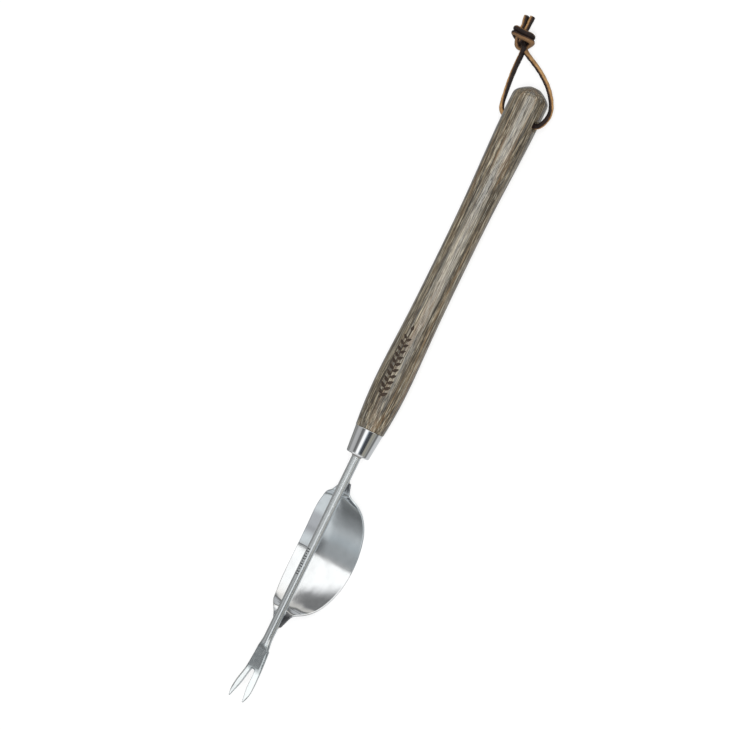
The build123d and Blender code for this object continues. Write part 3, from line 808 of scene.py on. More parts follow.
def build_ticks():
    """A row of stamped strokes on the bar over the rocker plate, every third mark a dot."""
    dot_r, stroke_half_width = 0.60, 0.45
    tile_length = 0.62               # strokes are five tiles, to follow the round of the bar
    outlines = []
    for i, x in enumerate(np.arange(-22.0, 3.0, 2.3)):
        if i % 3 == 2:
            outlines.append([(x + dot_r * math.cos(a), dot_r * math.sin(a))
                             for a in np.linspace(0, 2 * math.pi, 12, endpoint=False)])
            continue
        for k in range(-2, 3):
            outlines.append(tile(x - stroke_half_width, x + stroke_half_width,
                                 lambda _, k=k: tile_length * k, tile_length / 2))
    piece = on_round("stamped_ticks", outlines, lambda x: BAR_R, 86.0, ETCH,
                     proud=0.020, deep=0.10)
    piece.visible_glossy = False


build_sprig()
build_ticks()


# ------------------------------------------------------------------ ferrule
def ferrule_radius(x):
    return (FERRULE_START_R + (FERRULE_END_R - FERRULE_START_R) * (x - FERRULE_START)
            / (FERRULE_END - FERRULE_START))


def build_ferrule():
    """Conical shell with an end wall round the bar at its -X end."""
    bore = 4.06
    inner_start = 91.3               # inside face of the end wall
    profile = rounded(
        [(FERRULE_START, bore), (FERRULE_START, FERRULE_START_R), (FERRULE_END, FERRULE_END_R),
         (FERRULE_END, ferrule_radius(FERRULE_END) - FERRULE_WALL),
         (inner_start, ferrule_radius(inner_start) - FERRULE_WALL), (inner_start, bore)],
        {1: 1.5, 2: 0.35, 3: 0.1, 4: 0.5}, steps=8)
    dense = []
    for start, end in zip(profile, profile[1:] + profile[:1]):
        dense.append(start)
        if math.hypot(start[0] - end[0], start[1] - end[1]) > 4:
            for k in range(1, 12):
                dense.append((start[0] + (end[0] - start[0]) * k / 12,
                              start[1] + (end[1] - start[1]) * k / 12))
    give(lathe("ferrule_shell", dense, segs=160, sharp=40, closed=True), STEEL_FERRULE,
         "tool", "ferrule")


build_ferrule()


# ------------------------------------------------------------------ shaft bar and tang
def build_bar():
    """Round bar, then a thinner tang with six grooves and a pointed end."""
    tang_r, groove_r = 3.6, 3.05
    profile = [(-73.6, 0.0), (-73.6, 3.985), (-73.0, BAR_R)]
    profile += [(float(x), BAR_R) for x in np.arange(-68, 105, 8.0)]
    profile += [(105.6, BAR_R), (106.0, BAR_R), (106.8, tang_r)]
    for i in range(6):
        x = 118.0 + 14.0 * i
        profile += [(x, tang_r), (x + 1.2, groove_r), (x + 3.2, groove_r), (x + 3.4, tang_r)]
    profile += [(203.4, tang_r), (205.0, 2.0), (205.0, 0.0)]
    piece = give(lathe("shaft_bar", profile, segs=96, sharp=35), STEEL_SHAFT, "tool", None)
    # its dark underside would draw a hard band across the polished sheet
    piece.visible_glossy = False


build_bar()

# ------------------------------------------------------------------ forged fork
# (x, half width) of the outer edge, from the tine tips to the root
FORK_EDGE = [
    (-139.3, 7.5), (-137.4, 8.35), (-134.6, 9.15), (-131.0, 9.68), (-127.0, 9.62),
    (-121.0, 8.95), (-114.5, 7.97), (-108.5, 7.25), (-103.0, 6.85), (-97.7, 6.38),
    (-92.0, 5.75)]
# (x, height over the shaft axis) above which the outer edge is bevelled
FORK_MIDDLE = [(-139.2, 4.35), (-128.0, 2.75), (-116.0, 0.16), (-107.0, -0.82), (-90.0, -0.82)]
FORK_CUT_X = -70.5                   # the forging ends here, inside the turned bar
BEVEL_WIDTH, BEVEL_SLOPE = 1.75, 0.42


def unit_ramp(value):
    return min(1.0, max(0.0, value))


def relax(work, passes, below_x=math.inf):
    """Smooths the vertices whose x, in metres, is below a limit."""
    for _ in range(passes):
        bmesh.ops.smooth_vert(work, verts=[v for v in work.verts if v.co.x < below_x],
                              factor=0.5, use_axis_x=True, use_axis_y=True, use_axis_z=True)


def round_bar_end(verts):
    """Draws the +X end to the bar's radius, then just inside the turned bar."""
    for vert in verts:
        x = vert.co.x / MM_TO_M
        if x > -78.0:
            y, z = vert.co.y, vert.co.z - SHAFT_Z * MM_TO_M
            radius = math.hypot(y, z) / MM_TO_M
            if radius > 3.4:
                want = BAR_R - 0.06 * unit_ramp((x + 73.5) / 1.0)
                weight = min(1.0, (x + 78.0) / 2.0)
                factor = (radius + (want - radius) * weight) / radius
                vert.co.y, vert.co.z = y * factor, SHAFT_Z * MM_TO_M + z * factor


def bevel_edges(verts):
    """Ground bevels along the upper outer edges of the blade and tines."""
    edge_x, edge_width = zip(*FORK_EDGE)
    middle_x, middle_z = zip(*FORK_MIDDLE)
    for vert in verts:
        x, y = vert.co.x / MM_TO_M, vert.co.y / MM_TO_M
        z = vert.co.z / MM_TO_M - SHAFT_Z
        if -138.4 < x < -92.2 and z > np.interp(x, middle_x, middle_z):
            # the bevel fades out towards the tips and the root
            wide = BEVEL_WIDTH * unit_ramp((x + 139.0) / 8.0) * unit_ramp((-91.5 - x) / 5.0)
            inside = abs(y) - (float(monotone(edge_x, edge_width, x)) - wide)
            if inside > 0 and wide > 0.05:
                vert.co.z -= min(inside, wide) * BEVEL_SLOPE * MM_TO_M


def build_fork():
    """The CAD fork, remeshed and softened so that its flats stay and its arrises round."""
    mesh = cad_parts["shaft_fork"].data.copy()
    piece = add_object("fork_forging", mesh)
    work = bmesh.new()
    work.from_mesh(mesh)
    bmesh.ops.remove_doubles(work, verts=work.verts, dist=2e-6)
    bmesh.ops.bisect_plane(work, geom=work.verts[:] + work.edges[:] + work.faces[:],
                           plane_co=(FORK_CUT_X * MM_TO_M, 0, 0), plane_no=(1, 0, 0),
                           clear_outer=True)
    rim = [edge for edge in work.edges if edge.is_boundary]
    bmesh.ops.holes_fill(work, edges=rim, sides=0)
    bmesh.ops.recalc_face_normals(work, faces=work.faces)
    work.to_mesh(mesh)
    work.free()
    remesh = piece.modifiers.new("rm", "REMESH")
    remesh.mode = "VOXEL"
    remesh.voxel_size = 0.00019
    remesh.adaptivity = 0.0
    apply_modifiers(piece)

    work = bmesh.new()
    work.from_mesh(piece.data)
    relax(work, passes=15)
    round_bar_end(work.verts)
    bevel_edges(work.verts)
    relax(work, passes=7, below_x=-0.080)
    work.to_mesh(piece.data)
    work.free()
    shade(piece)
    give(piece, STEEL_SHAFT, "tool", "shaft_fork")


build_fork()

# ------------------------------------------------------------------ rocker plate
NECK_DEPTH, HALF_CHORD = 4.80, 54.5
KNEE = 0.96                          # share of the half chord where the bow turns straight
KNEE_SLOPE, KNEE_BLEND = 1.24, 0.55
# (distance from x = 0, cross curvature per mm): the necks curl up round the bar
SHEET_CURL = [(0, 0.0), (44.0, 0.0), (49.0, 0.006), (53.0, 0.022), (56.0, 0.045),
              (60.0, 0.068), (66.0, 0.105), (72.0, 0.150), (80.0, 0.170)]
MAX_CURL = 2.6
# (x, half width) of the plate
OUTLINE = [
    (-69.5, 4.1), (-66.4, 5.55), (-63.0, 7.05), (-59.0, 8.9), (-55.6, 11.6), (-51.6, 16.7),
    (-47.2, 20.3), (-42.9, 22.6), (-38.7, 24.3), (-30.3, 26.7), (-21.9, 28.3), (-13.5, 29.25),
    (-4.0, 29.7), (4.0, 29.75), (12.0, 29.4), (20.2, 28.7), (28.6, 27.6), (36.5, 25.6),
    (42.5, 23.0), (47.4, 19.9), (51.2, 15.9), (54.0, 10.9), (58.1, 7.35), (62.3, 5.6),
    (65.0, 4.5)]
PLATE_START, PLATE_END = OUTLINE[0][0], OUTLINE[-1][0]
# rolled arris: (distance inside the edge, thinning of each face)
ARRIS = [(0.16, 0.17), (0.55, 0.0)]
EDGE_THINNING = 0.48
ARRIS_CLEAR = 0.70                   # plain columns nearer the edge than this are moved in


def bow_depth(share):
    return NECK_DEPTH + (ROCKER_DEPTH - NECK_DEPTH) * (1 - share * share) ** 0.68


def sheet_depth(x):
    """Depth of the sheet's middle below the shaft axis."""
    share = abs(x) / HALF_CHORD
    if share < KNEE:
        return bow_depth(share)
    over = bow_depth(KNEE) - KNEE_SLOPE * (abs(x) - KNEE * HALF_CHORD) - NECK_DEPTH
    return NECK_DEPTH + 0.5 * (over + math.sqrt(over ** 2 + 4 * KNEE_BLEND ** 2))


def sheet_mid(x, y):
    curl = float(monotone(*zip(*SHEET_CURL), abs(x)))
    rise = MAX_CURL * math.tanh(curl * y * y / 2 / MAX_CURL)
    return np.array([x, y, SHAFT_Z - sheet_depth(x) + rise])


def sheet_face(x, y, side, thinning=0.0):
    """Point on the upper (side 1) or lower (side -1) face of the sheet."""
    step = 1e-3
    along = sheet_mid(x + step, y) - sheet_mid(x - step, y)
    across = sheet_mid(x, y + step) - sheet_mid(x, y - step)
    normal = np.cross(along, across)
    normal /= np.linalg.norm(normal)
    return sheet_mid(x, y) + side * normal * (SHEET_THICK / 2 - thinning)


def sheet_row(x, width, side, cols=48):
    """One row of points across the sheet, from -Y to +Y."""
    plain = []
    for j in range(1, cols):
        # columns crowd towards the edges
        share = math.sin((j / cols - 0.5) * math.pi) * 0.55 + (j / cols - 0.5) * 2 * 0.45
        point = sheet_face(x, share * width, side)
        plain.append(point if abs(point[1]) < width - ARRIS_CLEAR else None)
    row = [sheet_face(x, -width, side, EDGE_THINNING)]
    row += [sheet_face(x, inset - width, side, thinning) for inset, thinning in ARRIS]
    row += plain
    row += [sheet_face(x, width - inset, side, thinning)
            for inset, thinning in reversed(ARRIS)]
    row.append(sheet_face(x, width, side, EDGE_THINNING))
    # space the dropped columns evenly up to the next point, which keeps the count equal
    for k, point in enumerate(row):
        if point is None:
            ahead = k + 1
            while row[ahead] is None:
                ahead += 1
            t = 1 / (ahead - k + 1)
            row[k] = row[k - 1] * (1 - t) + row[ahead] * t
    return row


def build_plate():
    outline = resample(OUTLINE, 3000)
    outline = outline[np.argsort(outline[:, 0])]
    # stations are denser at the bends
    stations = []
    x = PLATE_START
    while x < PLATE_END:
        stations.append(x)
        x += 0.22 if 49.5 < abs(x) < 60 else 0.6
    stations.append(PLATE_END)
    widths = np.interp(stations, outline[:, 0], outline[:, 1])
    top, bottom = ([sheet_row(x, width, side) for x, width in zip(stations, widths)]
                   for side in (1, -1))
    rows, cols = len(top), len(top[0])
    verts = [point for row in top + bottom for point in row]
    under = rows * cols
    faces = []
    for i in range(rows - 1):
        for j in range(cols - 1):
            a = i * cols + j
            faces.append([a, a + 1, a + cols + 1, a + cols])
            faces.append([under + a, under + a + cols, under + a + cols + 1, under + a + 1])
        for j in (0, cols - 1):
            a = i * cols + j
            faces.append([a, a + cols, under + a + cols, under + a])
    for i in (0, rows - 1):
        for j in range(cols - 1):
            a = i * cols + j
            faces.append([a, a + 1, under + a + 1, under + a])
    give(make_mesh("rocker_sheet", verts, faces, sharp=50), STEEL_SHEET, "tool",
         "rocker_plate")


build_plate()

# ------------------------------------------------------------------ weld beads
BEAD_INNER_R, BEAD_R = 4.02, 5.3
UNDERSIDE = (198, 342)               # degrees, the lower part of the bar


def build_bead(name, x_face, direction, toe, node, arc):
    """Rippled fillet from a face down to the bar, running out over `toe` mm along X."""
    profile = [(x_face, BEAD_INNER_R), (x_face, BEAD_R)]
    for k in range(1, 8):
        t = k / 8
        profile.append((x_face + direction * toe * t,
                        BEAD_INNER_R + (BEAD_R - BEAD_INNER_R) * (1 - t) ** 2.0))
    profile.append((x_face + direction * toe, BEAD_INNER_R + 0.01))

    def ripple(x, angle):
        share = abs(x - x_face) / toe
        if not 0 < share < 1:
            return 0.0
        return (0.07 * math.sin(angle * 26 + share * 2.2)
                * math.sin(min(1, share * 1.1) * math.pi))

    give(lathe(name, profile, segs=110, sharp=45, closed=True, wobble=ripple, arc=arc),
         WELD, "tool", node)


build_bead("neck_bead_front", PLATE_START - 0.04, -1, 2.4, "front_weld", UNDERSIDE)
build_bead("neck_bead_rear", PLATE_END + 0.04, 1, 2.3, "rear_weld", UNDERSIDE)
build_bead("ferrule_bead", FERRULE_START - 0.03, -1, 1.35, "ferrule_weld", None)

# ------------------------------------------------------------------ thong
# The knot is laid out about its middle in three mm axes: right and down as the camera sees
# them, both level and stretched in Y by the camera's 60 degree tilt, and out to the camera.
KNOT_MIDDLE = np.array([471.5706, 35.4272, SHAFT_Z - 5.894])
KNOT_AXES = np.array([
    (0.4378, -0.8991 / COS30, 0.0),
    (-0.8991, -0.4378 / COS30, 0.0),
    (0.0, -SIN30, COS30)])
OUT_WEIGHT = 0.9996                  # weight of the outward part of a direction
HALF_SPACING = 2.105                 # from the middle of the doubled thong to a strand
THONG_WIDTH, THONG_THICK = 4.6, 4.1

# arms from the hole to the knot: (x, y, height over the shaft axis)
ARM_LOW = [
    (403.6, -17.6, 0.0), (407.6, -20.9, 0.0), (413.4, -22.8, 0.0), (419.7, -22.5, 0.0),
    (426.3, -19.4, -0.2), (431.3, -15.6, -0.6), (437.1, -10.0, -1.2), (441.3, -4.7, -1.8),
    (446.4, 2.8, -2.6), (451.1, 11.2, -3.6), (455.5, 20.3, -4.8)]
ARM_HIGH = [
    (403.6, 18.2, 0.0), (406.6, 21.4, -0.1), (411.3, 23.3, -0.3), (420.1, 25.1, -0.9),
    (428.4, 26.7, -1.7), (435.3, 27.8, -2.4), (447.0, 29.2, -3.8)]
# way the tan face looks along each arm, in knot axes, by x
ARM_LOW_FACE = {
    402.0: (0.4, 0.5, -0.8), 414.0: (0.5, 0.4, -0.75), 422.0: (0.8, 0.2, -0.45),
    432.0: (0.95, -0.1, -0.12), 442.0: (0.95, -0.3, 0.08), 452.0: (0.85, -0.4, 0.32),
    462.0: (0.7, -0.3, 0.7)}
ARM_HIGH_FACE = {
    402.0: (-0.7, 0.1, 0.75), 412.0: (-0.8, -0.1, 0.5), 422.0: (-0.95, -0.15, 0.22),
    432.0: (-0.95, -0.2, 0.05), 442.0: (-0.92, -0.25, -0.12), 452.0: (-0.85, -0.3, -0.4)}
# inside the hole: y, and the way the tan face looks in x, y, z
HOLE_PATH = [(-13.0, (-0.2, 0.2, -1.0)), (-6.0, (-0.6, 0, -0.7)), (0.0, (-1.0, 0, 0.0)),
             (6.0, (-0.6, 0, 0.7)), (13.0, (-0.3, 0.3, 0.9))]
# where each strand enters the knot: point and tan-face direction, in knot axes
FOOT_A = [((2.062, 16.239, -0.421), (0.6, -0.2, 0.8)), ((0.430, 13.017, -1.179), (0.5, -0.1, 0.85)),
          ((-0.687, 10.095, -1.852), (0.5, 0.1, 0.8)), ((-1.632, 6.873, -2.694), (0.3, 0.0, -0.5))]
FOOT_B = [((-3.566, 17.398, 0.842), (-0.8, -0.2, -0.6)), ((-2.320, 14.177, 1.516), (-0.75, -0.1, -0.7)),
          ((-1.160, 10.998, 1.684), (-0.6, 0.1, -0.8)), ((-1.375, 7.303, -0.505), (0.1, 0.3, -0.9))]
# overhand knot: centre of the doubled thong, and the way from there to strand A
KNOT_PATH = [
    ((-3.866, 0.430, -3.284), (0.62, -0.72, 0.0)), ((-6.358, -2.835, -3.031), (0.50, -0.85, 0.0)),
    ((-7.647, -5.155, -1.179), (0.38, -0.92, 0.0)), ((-7.647, -5.413, 1.516), (0.42, -0.91, 0.0)),
    ((-6.272, -4.296, 3.705), (0.47, -0.88, 0.0)), ((-4.210, -2.320, 4.884), (0.45, -0.88, 0.0)),
    ((0.000, 0.129, 5.052), (0.42, -0.90, 0.0)), ((3.694, 2.148, 4.210), (0.36, -0.92, 0.0)),
    ((5.842, 3.609, 2.021), (0.22, -0.95, 0.0)), ((5.842, 4.554, -0.842), (0.0, -1.0, 0.0)),
    ((3.780, 6.100, -3.284), (-0.22, -0.95, 0.0)), ((0.516, 7.819, -4.715), (-0.10, -0.95, 0.0)),
    ((-2.406, 8.248, -4.042), (0.30, -0.92, 0.0)), ((-4.296, 6.788, -1.852), (0.75, -0.55, 0.0)),
    ((-4.468, 3.609, 0.337), (0.95, 0.10, 0.0)), ((-3.007, -0.430, 1.431), (0.85, 0.40, 0.0)),
    ((-0.945, -4.726, 1.431), (0.82, 0.42, 0.0)), ((0.945, -8.162, 1.010), (0.88, 0.32, 0.0))]
# tan-face directions of the strands, by index into KNOT_PATH
KNOT_FACE_A = {
    0: (0.2, -0.3, -0.9), 2: (0.3, -0.5, -0.6), 3: (0.2, -0.6, -0.7), 8: (0.2, -0.6, -0.7),
    9: (0.5, -0.5, -0.5), 11: (0.2, -0.6, -0.6), 13: (0.2, -0.8, -0.2), 14: (-0.4, -0.6, 0.3),
    15: (-0.85, -0.35, 0.4), 17: (-0.85, -0.35, 0.45)}
KNOT_FACE_B = {
    0: (0.4, 0.4, -0.8), 2: (0.3, 0.5, -0.7), 3: (-0.1, 0.8, -0.3), 4: (-0.3, 0.88, 0.15),
    5: (-0.32, 0.88, 0.34), 8: (-0.2, 0.9, 0.30), 9: (0.4, 0.8, 0.0), 11: (0.0, 0.8, -0.4),
    13: (-0.7, 0.6, 0.35), 14: (-0.9, 0.1, 0.45), 15: (-0.95, -0.2, 0.3),
    17: (-0.95, -0.25, 0.28)}
TAIL_A, TAIL_A_FACE = [(4.554, -11.513, 0.758), (6.873, -16.067, 0.337)], (-0.85, -0.35, 0.42)
TAIL_B, TAIL_B_FACE = [(0.172, -11.599, 1.010), (1.976, -17.098, 0.674)], (-0.95, -0.25, 0.25)


def knot_point(right, down, out):
    return KNOT_MIDDLE + np.array([right, down, out]) @ KNOT_AXES


def knot_dir(right, down, out):
    direction = np.array([right, down, out * OUT_WEIGHT]) @ KNOT_AXES
    return direction / np.linalg.norm(direction)


def faces_between(table, stations):
    """Tan-face directions at the stations, filled in between the table's keys."""
    keys = sorted(table)
    rows = np.array([table[key] for key in keys], float)
    return [knot_dir(*(np.interp(at, keys, rows[:, c]) for c in range(3))) for at in stations]


def strand(side, arm, arm_face, foot, knot_face, tail, tail_face):
    """Points and tan-face directions from the hole to a tail; side 1 is strand A, -1 is B."""
    points = [np.array([x, y, z + SHAFT_Z]) for x, y, z in arm]
    points += [knot_point(*point) for point, _ in foot]
    points += [knot_point(*centre) + knot_dir(*way) * side * HALF_SPACING
               for centre, way in KNOT_PATH]
    points += [knot_point(*point) for point in tail]
    outward = faces_between(arm_face, [point[0] for point in arm])
    outward += [knot_dir(*face) for _, face in foot]
    outward += faces_between(knot_face, range(len(KNOT_PATH)))
    outward += [knot_dir(*tail_face)] * len(tail)
    return points, outward


def square_to(tangent, outward):
    """Makes each outward direction a unit vector square to its tangent."""
    outward = outward - (outward * tangent).sum(1)[:, None] * tangent
    return outward / np.linalg.norm(outward, axis=1)[:, None]


def sweep_thong(name, points, outward, step=0.42, segs=26):
    """Sweeps a rounded strip along a path; outward is the way the tan face looks."""
    path, param = chord_path(points, step)
    outward = np.asarray(outward, float)
    outward = np.stack([np.interp(param, np.arange(len(outward)), outward[:, c])
                        for c in range(3)], 1)
    tangent = np.gradient(path, axis=0)
    tangent /= np.linalg.norm(tangent, axis=1)[:, None]
    outward = square_to(tangent, outward)
    for _ in range(10):              # evens out sudden turns
        outward[1:-1] = (outward[:-2] + outward[1:-1] * 2 + outward[2:]) / 4
        outward = square_to(tangent, outward)
    sideways = np.cross(tangent, outward)
    length = chords(path)
    seed = sum(ord(letter) for letter in name)
    power = 2 / 2.7                  # superellipse: flat faces, rounded edges
    verts, faces, uvs = [], [], []
    for i, at in enumerate(length):
        wide = 1 + 0.035 * math.sin(at * 0.55 + seed) + 0.02 * math.sin(at * 1.9 + seed * 2)
        thick = 1 + 0.03 * math.sin(at * 0.8 + seed * 3)
        # the cut ends are swollen, mostly in width
        near_end = max(0.0, 1 - min(at, length[-1] - at) / 12.0)
        thick *= 1 + 0.16 * near_end
        wide *= 1 + 0.36 * near_end
        for j in range(segs):
            angle = 2 * math.pi * j / segs
            cos, sin = math.cos(angle), math.sin(angle)
            across = math.copysign(abs(cos) ** power, cos) * THONG_WIDTH / 2 * wide
            through = math.copysign(abs(sin) ** power, sin) * THONG_THICK / 2 * thick
            lump = (0.035 * math.sin(3 * angle + at * 0.9 + seed)
                    + 0.025 * math.sin(7 * angle - at * 2.1))
            verts.append(path[i] + sideways[i] * (across + lump * cos)
                         + outward[i] * (through + lump * sin))
    last = len(path) - 1
    for i in range(last):
        here, after = length[i] / 10, length[i + 1] / 10
        for j in range(segs):
            k = (j + 1) % segs
            faces.append([i * segs + j, i * segs + k, (i + 1) * segs + k, (i + 1) * segs + j])
            low, high = j / segs, (j + 1) / segs
            uvs.append([(here, low), (here, high), (after, high), (after, low)])
    for i, way in ((0, -1), (last, 1)):
        centre = len(verts)
        verts.append(path[i] + tangent[i] * 0.12 * way)
        ring = [i * segs + j for j in range(segs)]
        inner = [centre + 1 + j for j in range(segs)]
        verts += [path[i] * 0.12 + verts[r] * 0.88 + tangent[i] * 0.10 * way for r in ring]
        here = length[i] / 10
        for j in range(segs):
            k = (j + 1) % segs
            low, high = j / segs, (j + 1) / segs
            faces.append([ring[j], inner[j], inner[k], ring[k]])
            uvs.append([(here, low), (here, low), (here, high), (here, high)])
            faces.append([inner[j], centre, inner[k]])
            uvs.append([(here, low), (here, 0.25), (here, high)])
    return make_mesh(name, verts, faces, uvs=uvs, sharp=55)


def build_lanyard():
    """One continuous thong: tail A, knot, -Y arm, hole, +Y arm, knot, tail B."""
    points_a, outward_a = strand(1, ARM_LOW, ARM_LOW_FACE, FOOT_A, KNOT_FACE_A, TAIL_A,
                                 TAIL_A_FACE)
    points_b, outward_b = strand(-1, ARM_HIGH, ARM_HIGH_FACE, FOOT_B, KNOT_FACE_B, TAIL_B,
                                 TAIL_B_FACE)
    hole = [np.array([HOLE_X, y, SHAFT_Z]) for y, _ in HOLE_PATH]
    hole_outward = [np.array(face) for _, face in HOLE_PATH]
    piece = sweep_thong("lanyard_thong", points_a[::-1] + hole + points_b,
                        outward_a[::-1] + hole_outward + outward_b)
    give(piece, THONG, "lanyard", "lanyard")


build_lanyard()

# the CAD resin round the tang stays, hidden inside the grip
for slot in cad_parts["tang_resin"].material_slots:
    slot.material = RESIN

# ------------------------------------------------------------------ floor, metres from here on
TILT = math.atan2(12.12, 412.0)      # rises towards +X to meet the sole and the grip's butt end
FLOOR_X = 0.15


def mat_floor():
    """Pale paper; reflections see calm greys, and the far rim melts into the white."""
    mat = Mat("floor_paper")
    mottle = mat.grain((40,) * 3, detail=4.0, rough=0.6)
    color = mat.ramp(mottle, [(0.3, (0.90,) * 3), (0.7, (0.93,) * 3)])
    mat.surface(color=color, rough=0.9, spec=0.0,
                normal=mat.bump(mottle, strength=0.05, dist=0.0002))
    x, y, _ = mat.xyz(mat.obj)
    mirrored = mat.ramp(abs(y) * 2.0, [
        (0.0, (0.64, 0.65, 0.66)), (0.09, (0.62, 0.63, 0.64)), (0.13, (0.20, 0.20, 0.20)),
        (0.20, (0.17, 0.17, 0.165)), (0.32, (0.30, 0.30, 0.28)), (0.60, (0.34, 0.34, 0.32)),
        (1.0, (0.36, 0.36, 0.34))])
    from_middle = mat.math("SQRT", x * x + y * y)
    seen = mat.mix_shader(mat.smooth(from_middle, (0.7, 2.2), to=(0.66, 1.0)), mat.shader,
                          mat.glow("ShaderNodeEmission", (1, 1, 1)))
    is_glossy = mat.add("ShaderNodeLightPath", output="Is Glossy Ray")
    mat.put(mat.output.inputs[0],
            mat.mix_shader(is_glossy, seen, mat.glow("ShaderNodeEmission", mirrored)))
    return mat.material


def build_floor():
    segs, radii = 128, [0.3, 0.8, 1.6, 3.0, 6.0, 14.0]
    verts, faces = [(0, 0, 0)], []
    for radius in radii:
        for j in range(segs):
            angle = 2 * math.pi * j / segs
            verts.append((radius * math.cos(angle), radius * math.sin(angle), 0))
    for j in range(segs):
        k = (j + 1) % segs
        faces.append([0, 1 + j, 1 + k])
        for ring in range(len(radii) - 1):
            inner = 1 + ring * segs
            outer = inner + segs
            faces.append([inner + j, outer + j, outer + k, inner + k])
    mesh = bpy.data.meshes.new("floor")
    mesh.from_pydata(verts, [], faces)
    piece = add_object("floor", mesh)
    piece.location = (FLOOR_X, 0, FLOOR_X * math.tan(TILT) - 0.0002)
    piece.rotation_euler = (0, -TILT, 0)
    mesh.materials.append(mat_floor())


build_floor()

# ------------------------------------------------------------------ world
WHITE, TAN, NAVY = (1, 1, 1), (1.04, 1.0, 0.86), (0.90, 1.0, 1.12)
WARM, COOL, CREAM = (1.03, 1.0, 0.95), (0.95, 1.0, 1.03), (1.0, 1.0, 0.985)
# reflected bands around the shaft: (degrees, 0 is +Y and 90 is up; level; tint)
BAND = [
    (-180, 0.34, WHITE), (-120, 0.60, WHITE), (-20, 0.44, WHITE), (0, 0.24, WHITE),
    (10, 0.26, WHITE), (30, 0.50, WHITE), (44, 0.50, WHITE), (60, 0.44, WHITE),
    (67, 0.17, WHITE), (74, 0.14, WHITE), (88, 0.26, WHITE), (98, 1.20, WHITE),
    (113, 1.28, WHITE), (122, 0.40, NAVY), (130, 0.08, NAVY), (150, 0.055, NAVY),
    (160, 0.34, TAN), (170, 0.38, TAN), (179.9, 0.27, TAN)]
# (upward part of the direction, level, tint) towards +X: a panel with a dark gap, and the
# same without the gap on the +Y side
PANEL = [
    (0.0, 0.74, WARM), (0.10, 0.70, WARM), (0.22, 0.62, WARM), (0.32, 0.38, WHITE),
    (0.40, 0.22, WHITE), (0.59, 0.22, WHITE), (0.65, 0.40, WHITE), (0.70, 1.0, WHITE),
    (0.75, 1.40, CREAM), (1.0, 1.45, CREAM)]
PANEL_SIDE = [(0.0, 0.80, WHITE), (0.10, 1.02, WARM), (0.30, 1.22, WARM), (0.7, 1.36, CREAM),
              (1.0, 1.40, CREAM)]
# (part of the direction towards -X, level, tint): the room falls away
BACK = [(0.0, 0.50, COOL), (0.35, 0.56, COOL), (0.49, 0.60, WHITE), (0.60, 0.36, WHITE),
        (0.78, 0.17, WHITE), (0.92, 0.22, WHITE), (1.0, 0.55, WHITE)]


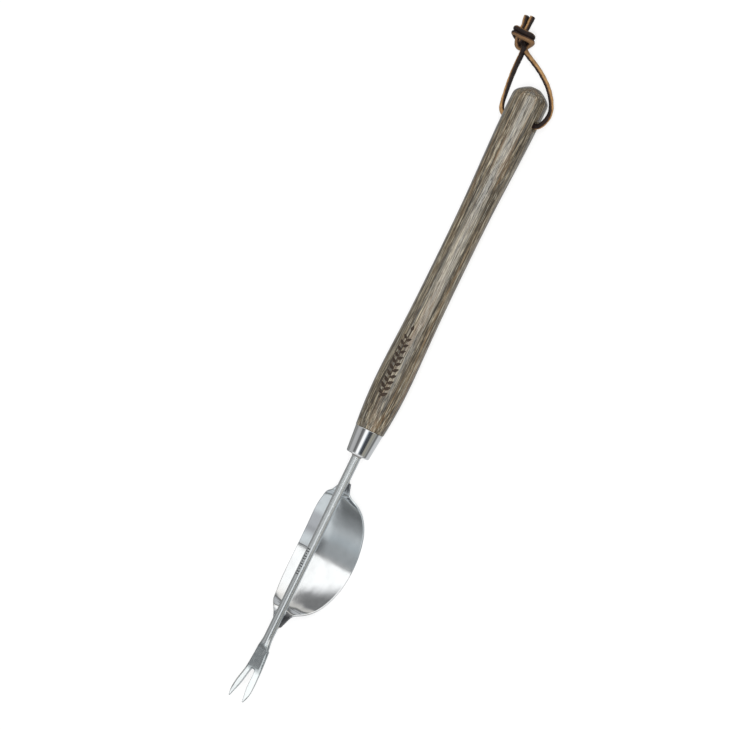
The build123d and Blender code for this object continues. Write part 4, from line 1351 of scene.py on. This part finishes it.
def build_world():
    """White to the camera, even light for the room, banded soft boxes for reflections."""
    world = bpy.data.worlds.new("studio")
    bpy.context.scene.world = world
    world.use_nodes = True
    nodes = Nodes(world.node_tree)

    def level_ramp(value, table):
        return nodes.ramp(value, [(at, dim(tint, level)) for at, level, tint in table])

    x, y, z = nodes.xyz(nodes.add("ShaderNodeTexCoord", output="Generated"))
    turn = nodes.math("ARCTAN2", z, y) * (1 / (2 * math.pi)) + 0.5
    band = level_ramp(turn, [((deg + 180) / 360, level, tint) for deg, level, tint in BAND])
    panel = level_ramp(z, PANEL)
    panel_side = level_ramp(z, PANEL_SIDE)
    to_side = nodes.smooth(y, (0.435, 0.475))
    panel = nodes.mix(to_side, panel_side, panel)
    back = nodes.mix(to_side, (0.86,) * 3, level_ramp(x * -1.0, BACK))
    color = nodes.mix(nodes.smooth(x, (-0.22, -0.42)), band, back)
    color = nodes.mix(nodes.smooth(x, (-0.045, 0.020)), color, panel)

    is_glossy, is_camera = nodes.wires(nodes.new("ShaderNodeLightPath"), "Is Glossy Ray",
                                       "Is Camera Ray")
    room = nodes.glow("ShaderNodeBackground", (1.0, 1.0, 1.0), strength=0.62)
    seen = nodes.glow("ShaderNodeBackground", (1.0, 1.0, 1.0))
    mirrored = nodes.glow("ShaderNodeBackground", color)
    light = nodes.mix_shader(is_glossy, room, mirrored)
    nodes.new("ShaderNodeOutputWorld", {0: nodes.mix_shader(is_camera, light, seen)})


build_world()


# ------------------------------------------------------------------ lights
def add_area(name, where, aim, size, watts):
    """Rectangular light, unseen by the camera and in reflections."""
    data = bpy.data.lights.new(name, "AREA")
    data.shape = "RECTANGLE"
    data.size, data.size_y = size
    data.energy = watts
    lamp = add_object(name, data)
    lamp.location = where
    lamp.rotation_euler = (Vector(aim) - Vector(where)).to_track_quat("-Z", "Y").to_euler()
    lamp.visible_glossy = False
    lamp.visible_camera = False


add_area("key", where=(0.16, -1.02, 1.79), aim=(0.16, 0, 0.02), size=(1.3, 0.7), watts=40)
add_area("fill", where=(0.3, 1.3, 1.5), aim=(0.15, 0, 0.02), size=(1.4, 1.0), watts=5)

# ------------------------------------------------------------------ camera
VIEW_WIDTH = 0.6147                  # seen across the frame at the shaft axis
VIEW_X, VIEW_Y = 0.1606, 0.0316      # point aimed at, at the height of the shaft
CAMERA_ROLL = math.radians(64.04)    # turns the tool to run corner to corner


def build_camera():
    """Long lens, 60 degrees above the level, from the -Y side."""
    data = bpy.data.cameras.new("camera")
    data.sensor_width = 36
    data.lens = 135
    data.clip_end = 60
    camera = add_object("camera", data)
    along, rise = Vector((1, 0, 0)), Vector((0, COS30, SIN30))
    right = along * math.cos(CAMERA_ROLL) - rise * math.sin(CAMERA_ROLL)
    up = along * math.sin(CAMERA_ROLL) + rise * math.cos(CAMERA_ROLL)
    back = Vector((0, -SIN30, COS30))
    target = Vector((VIEW_X, VIEW_Y, SHAFT_Z * MM_TO_M))
    on_axis = Vector((VIEW_X, 0.0, SHAFT_Z * MM_TO_M))
    distance = VIEW_WIDTH * data.lens / data.sensor_width + (on_axis - target).dot(back)
    turned = Matrix((right, up, back)).transposed().to_4x4()
    camera.matrix_world = Matrix.Translation(target + back * distance) @ turned
    scene = bpy.context.scene
    scene.camera = camera
    scene.view_settings.view_transform = "Standard"
    scene.view_settings.look = "None"


build_camera()
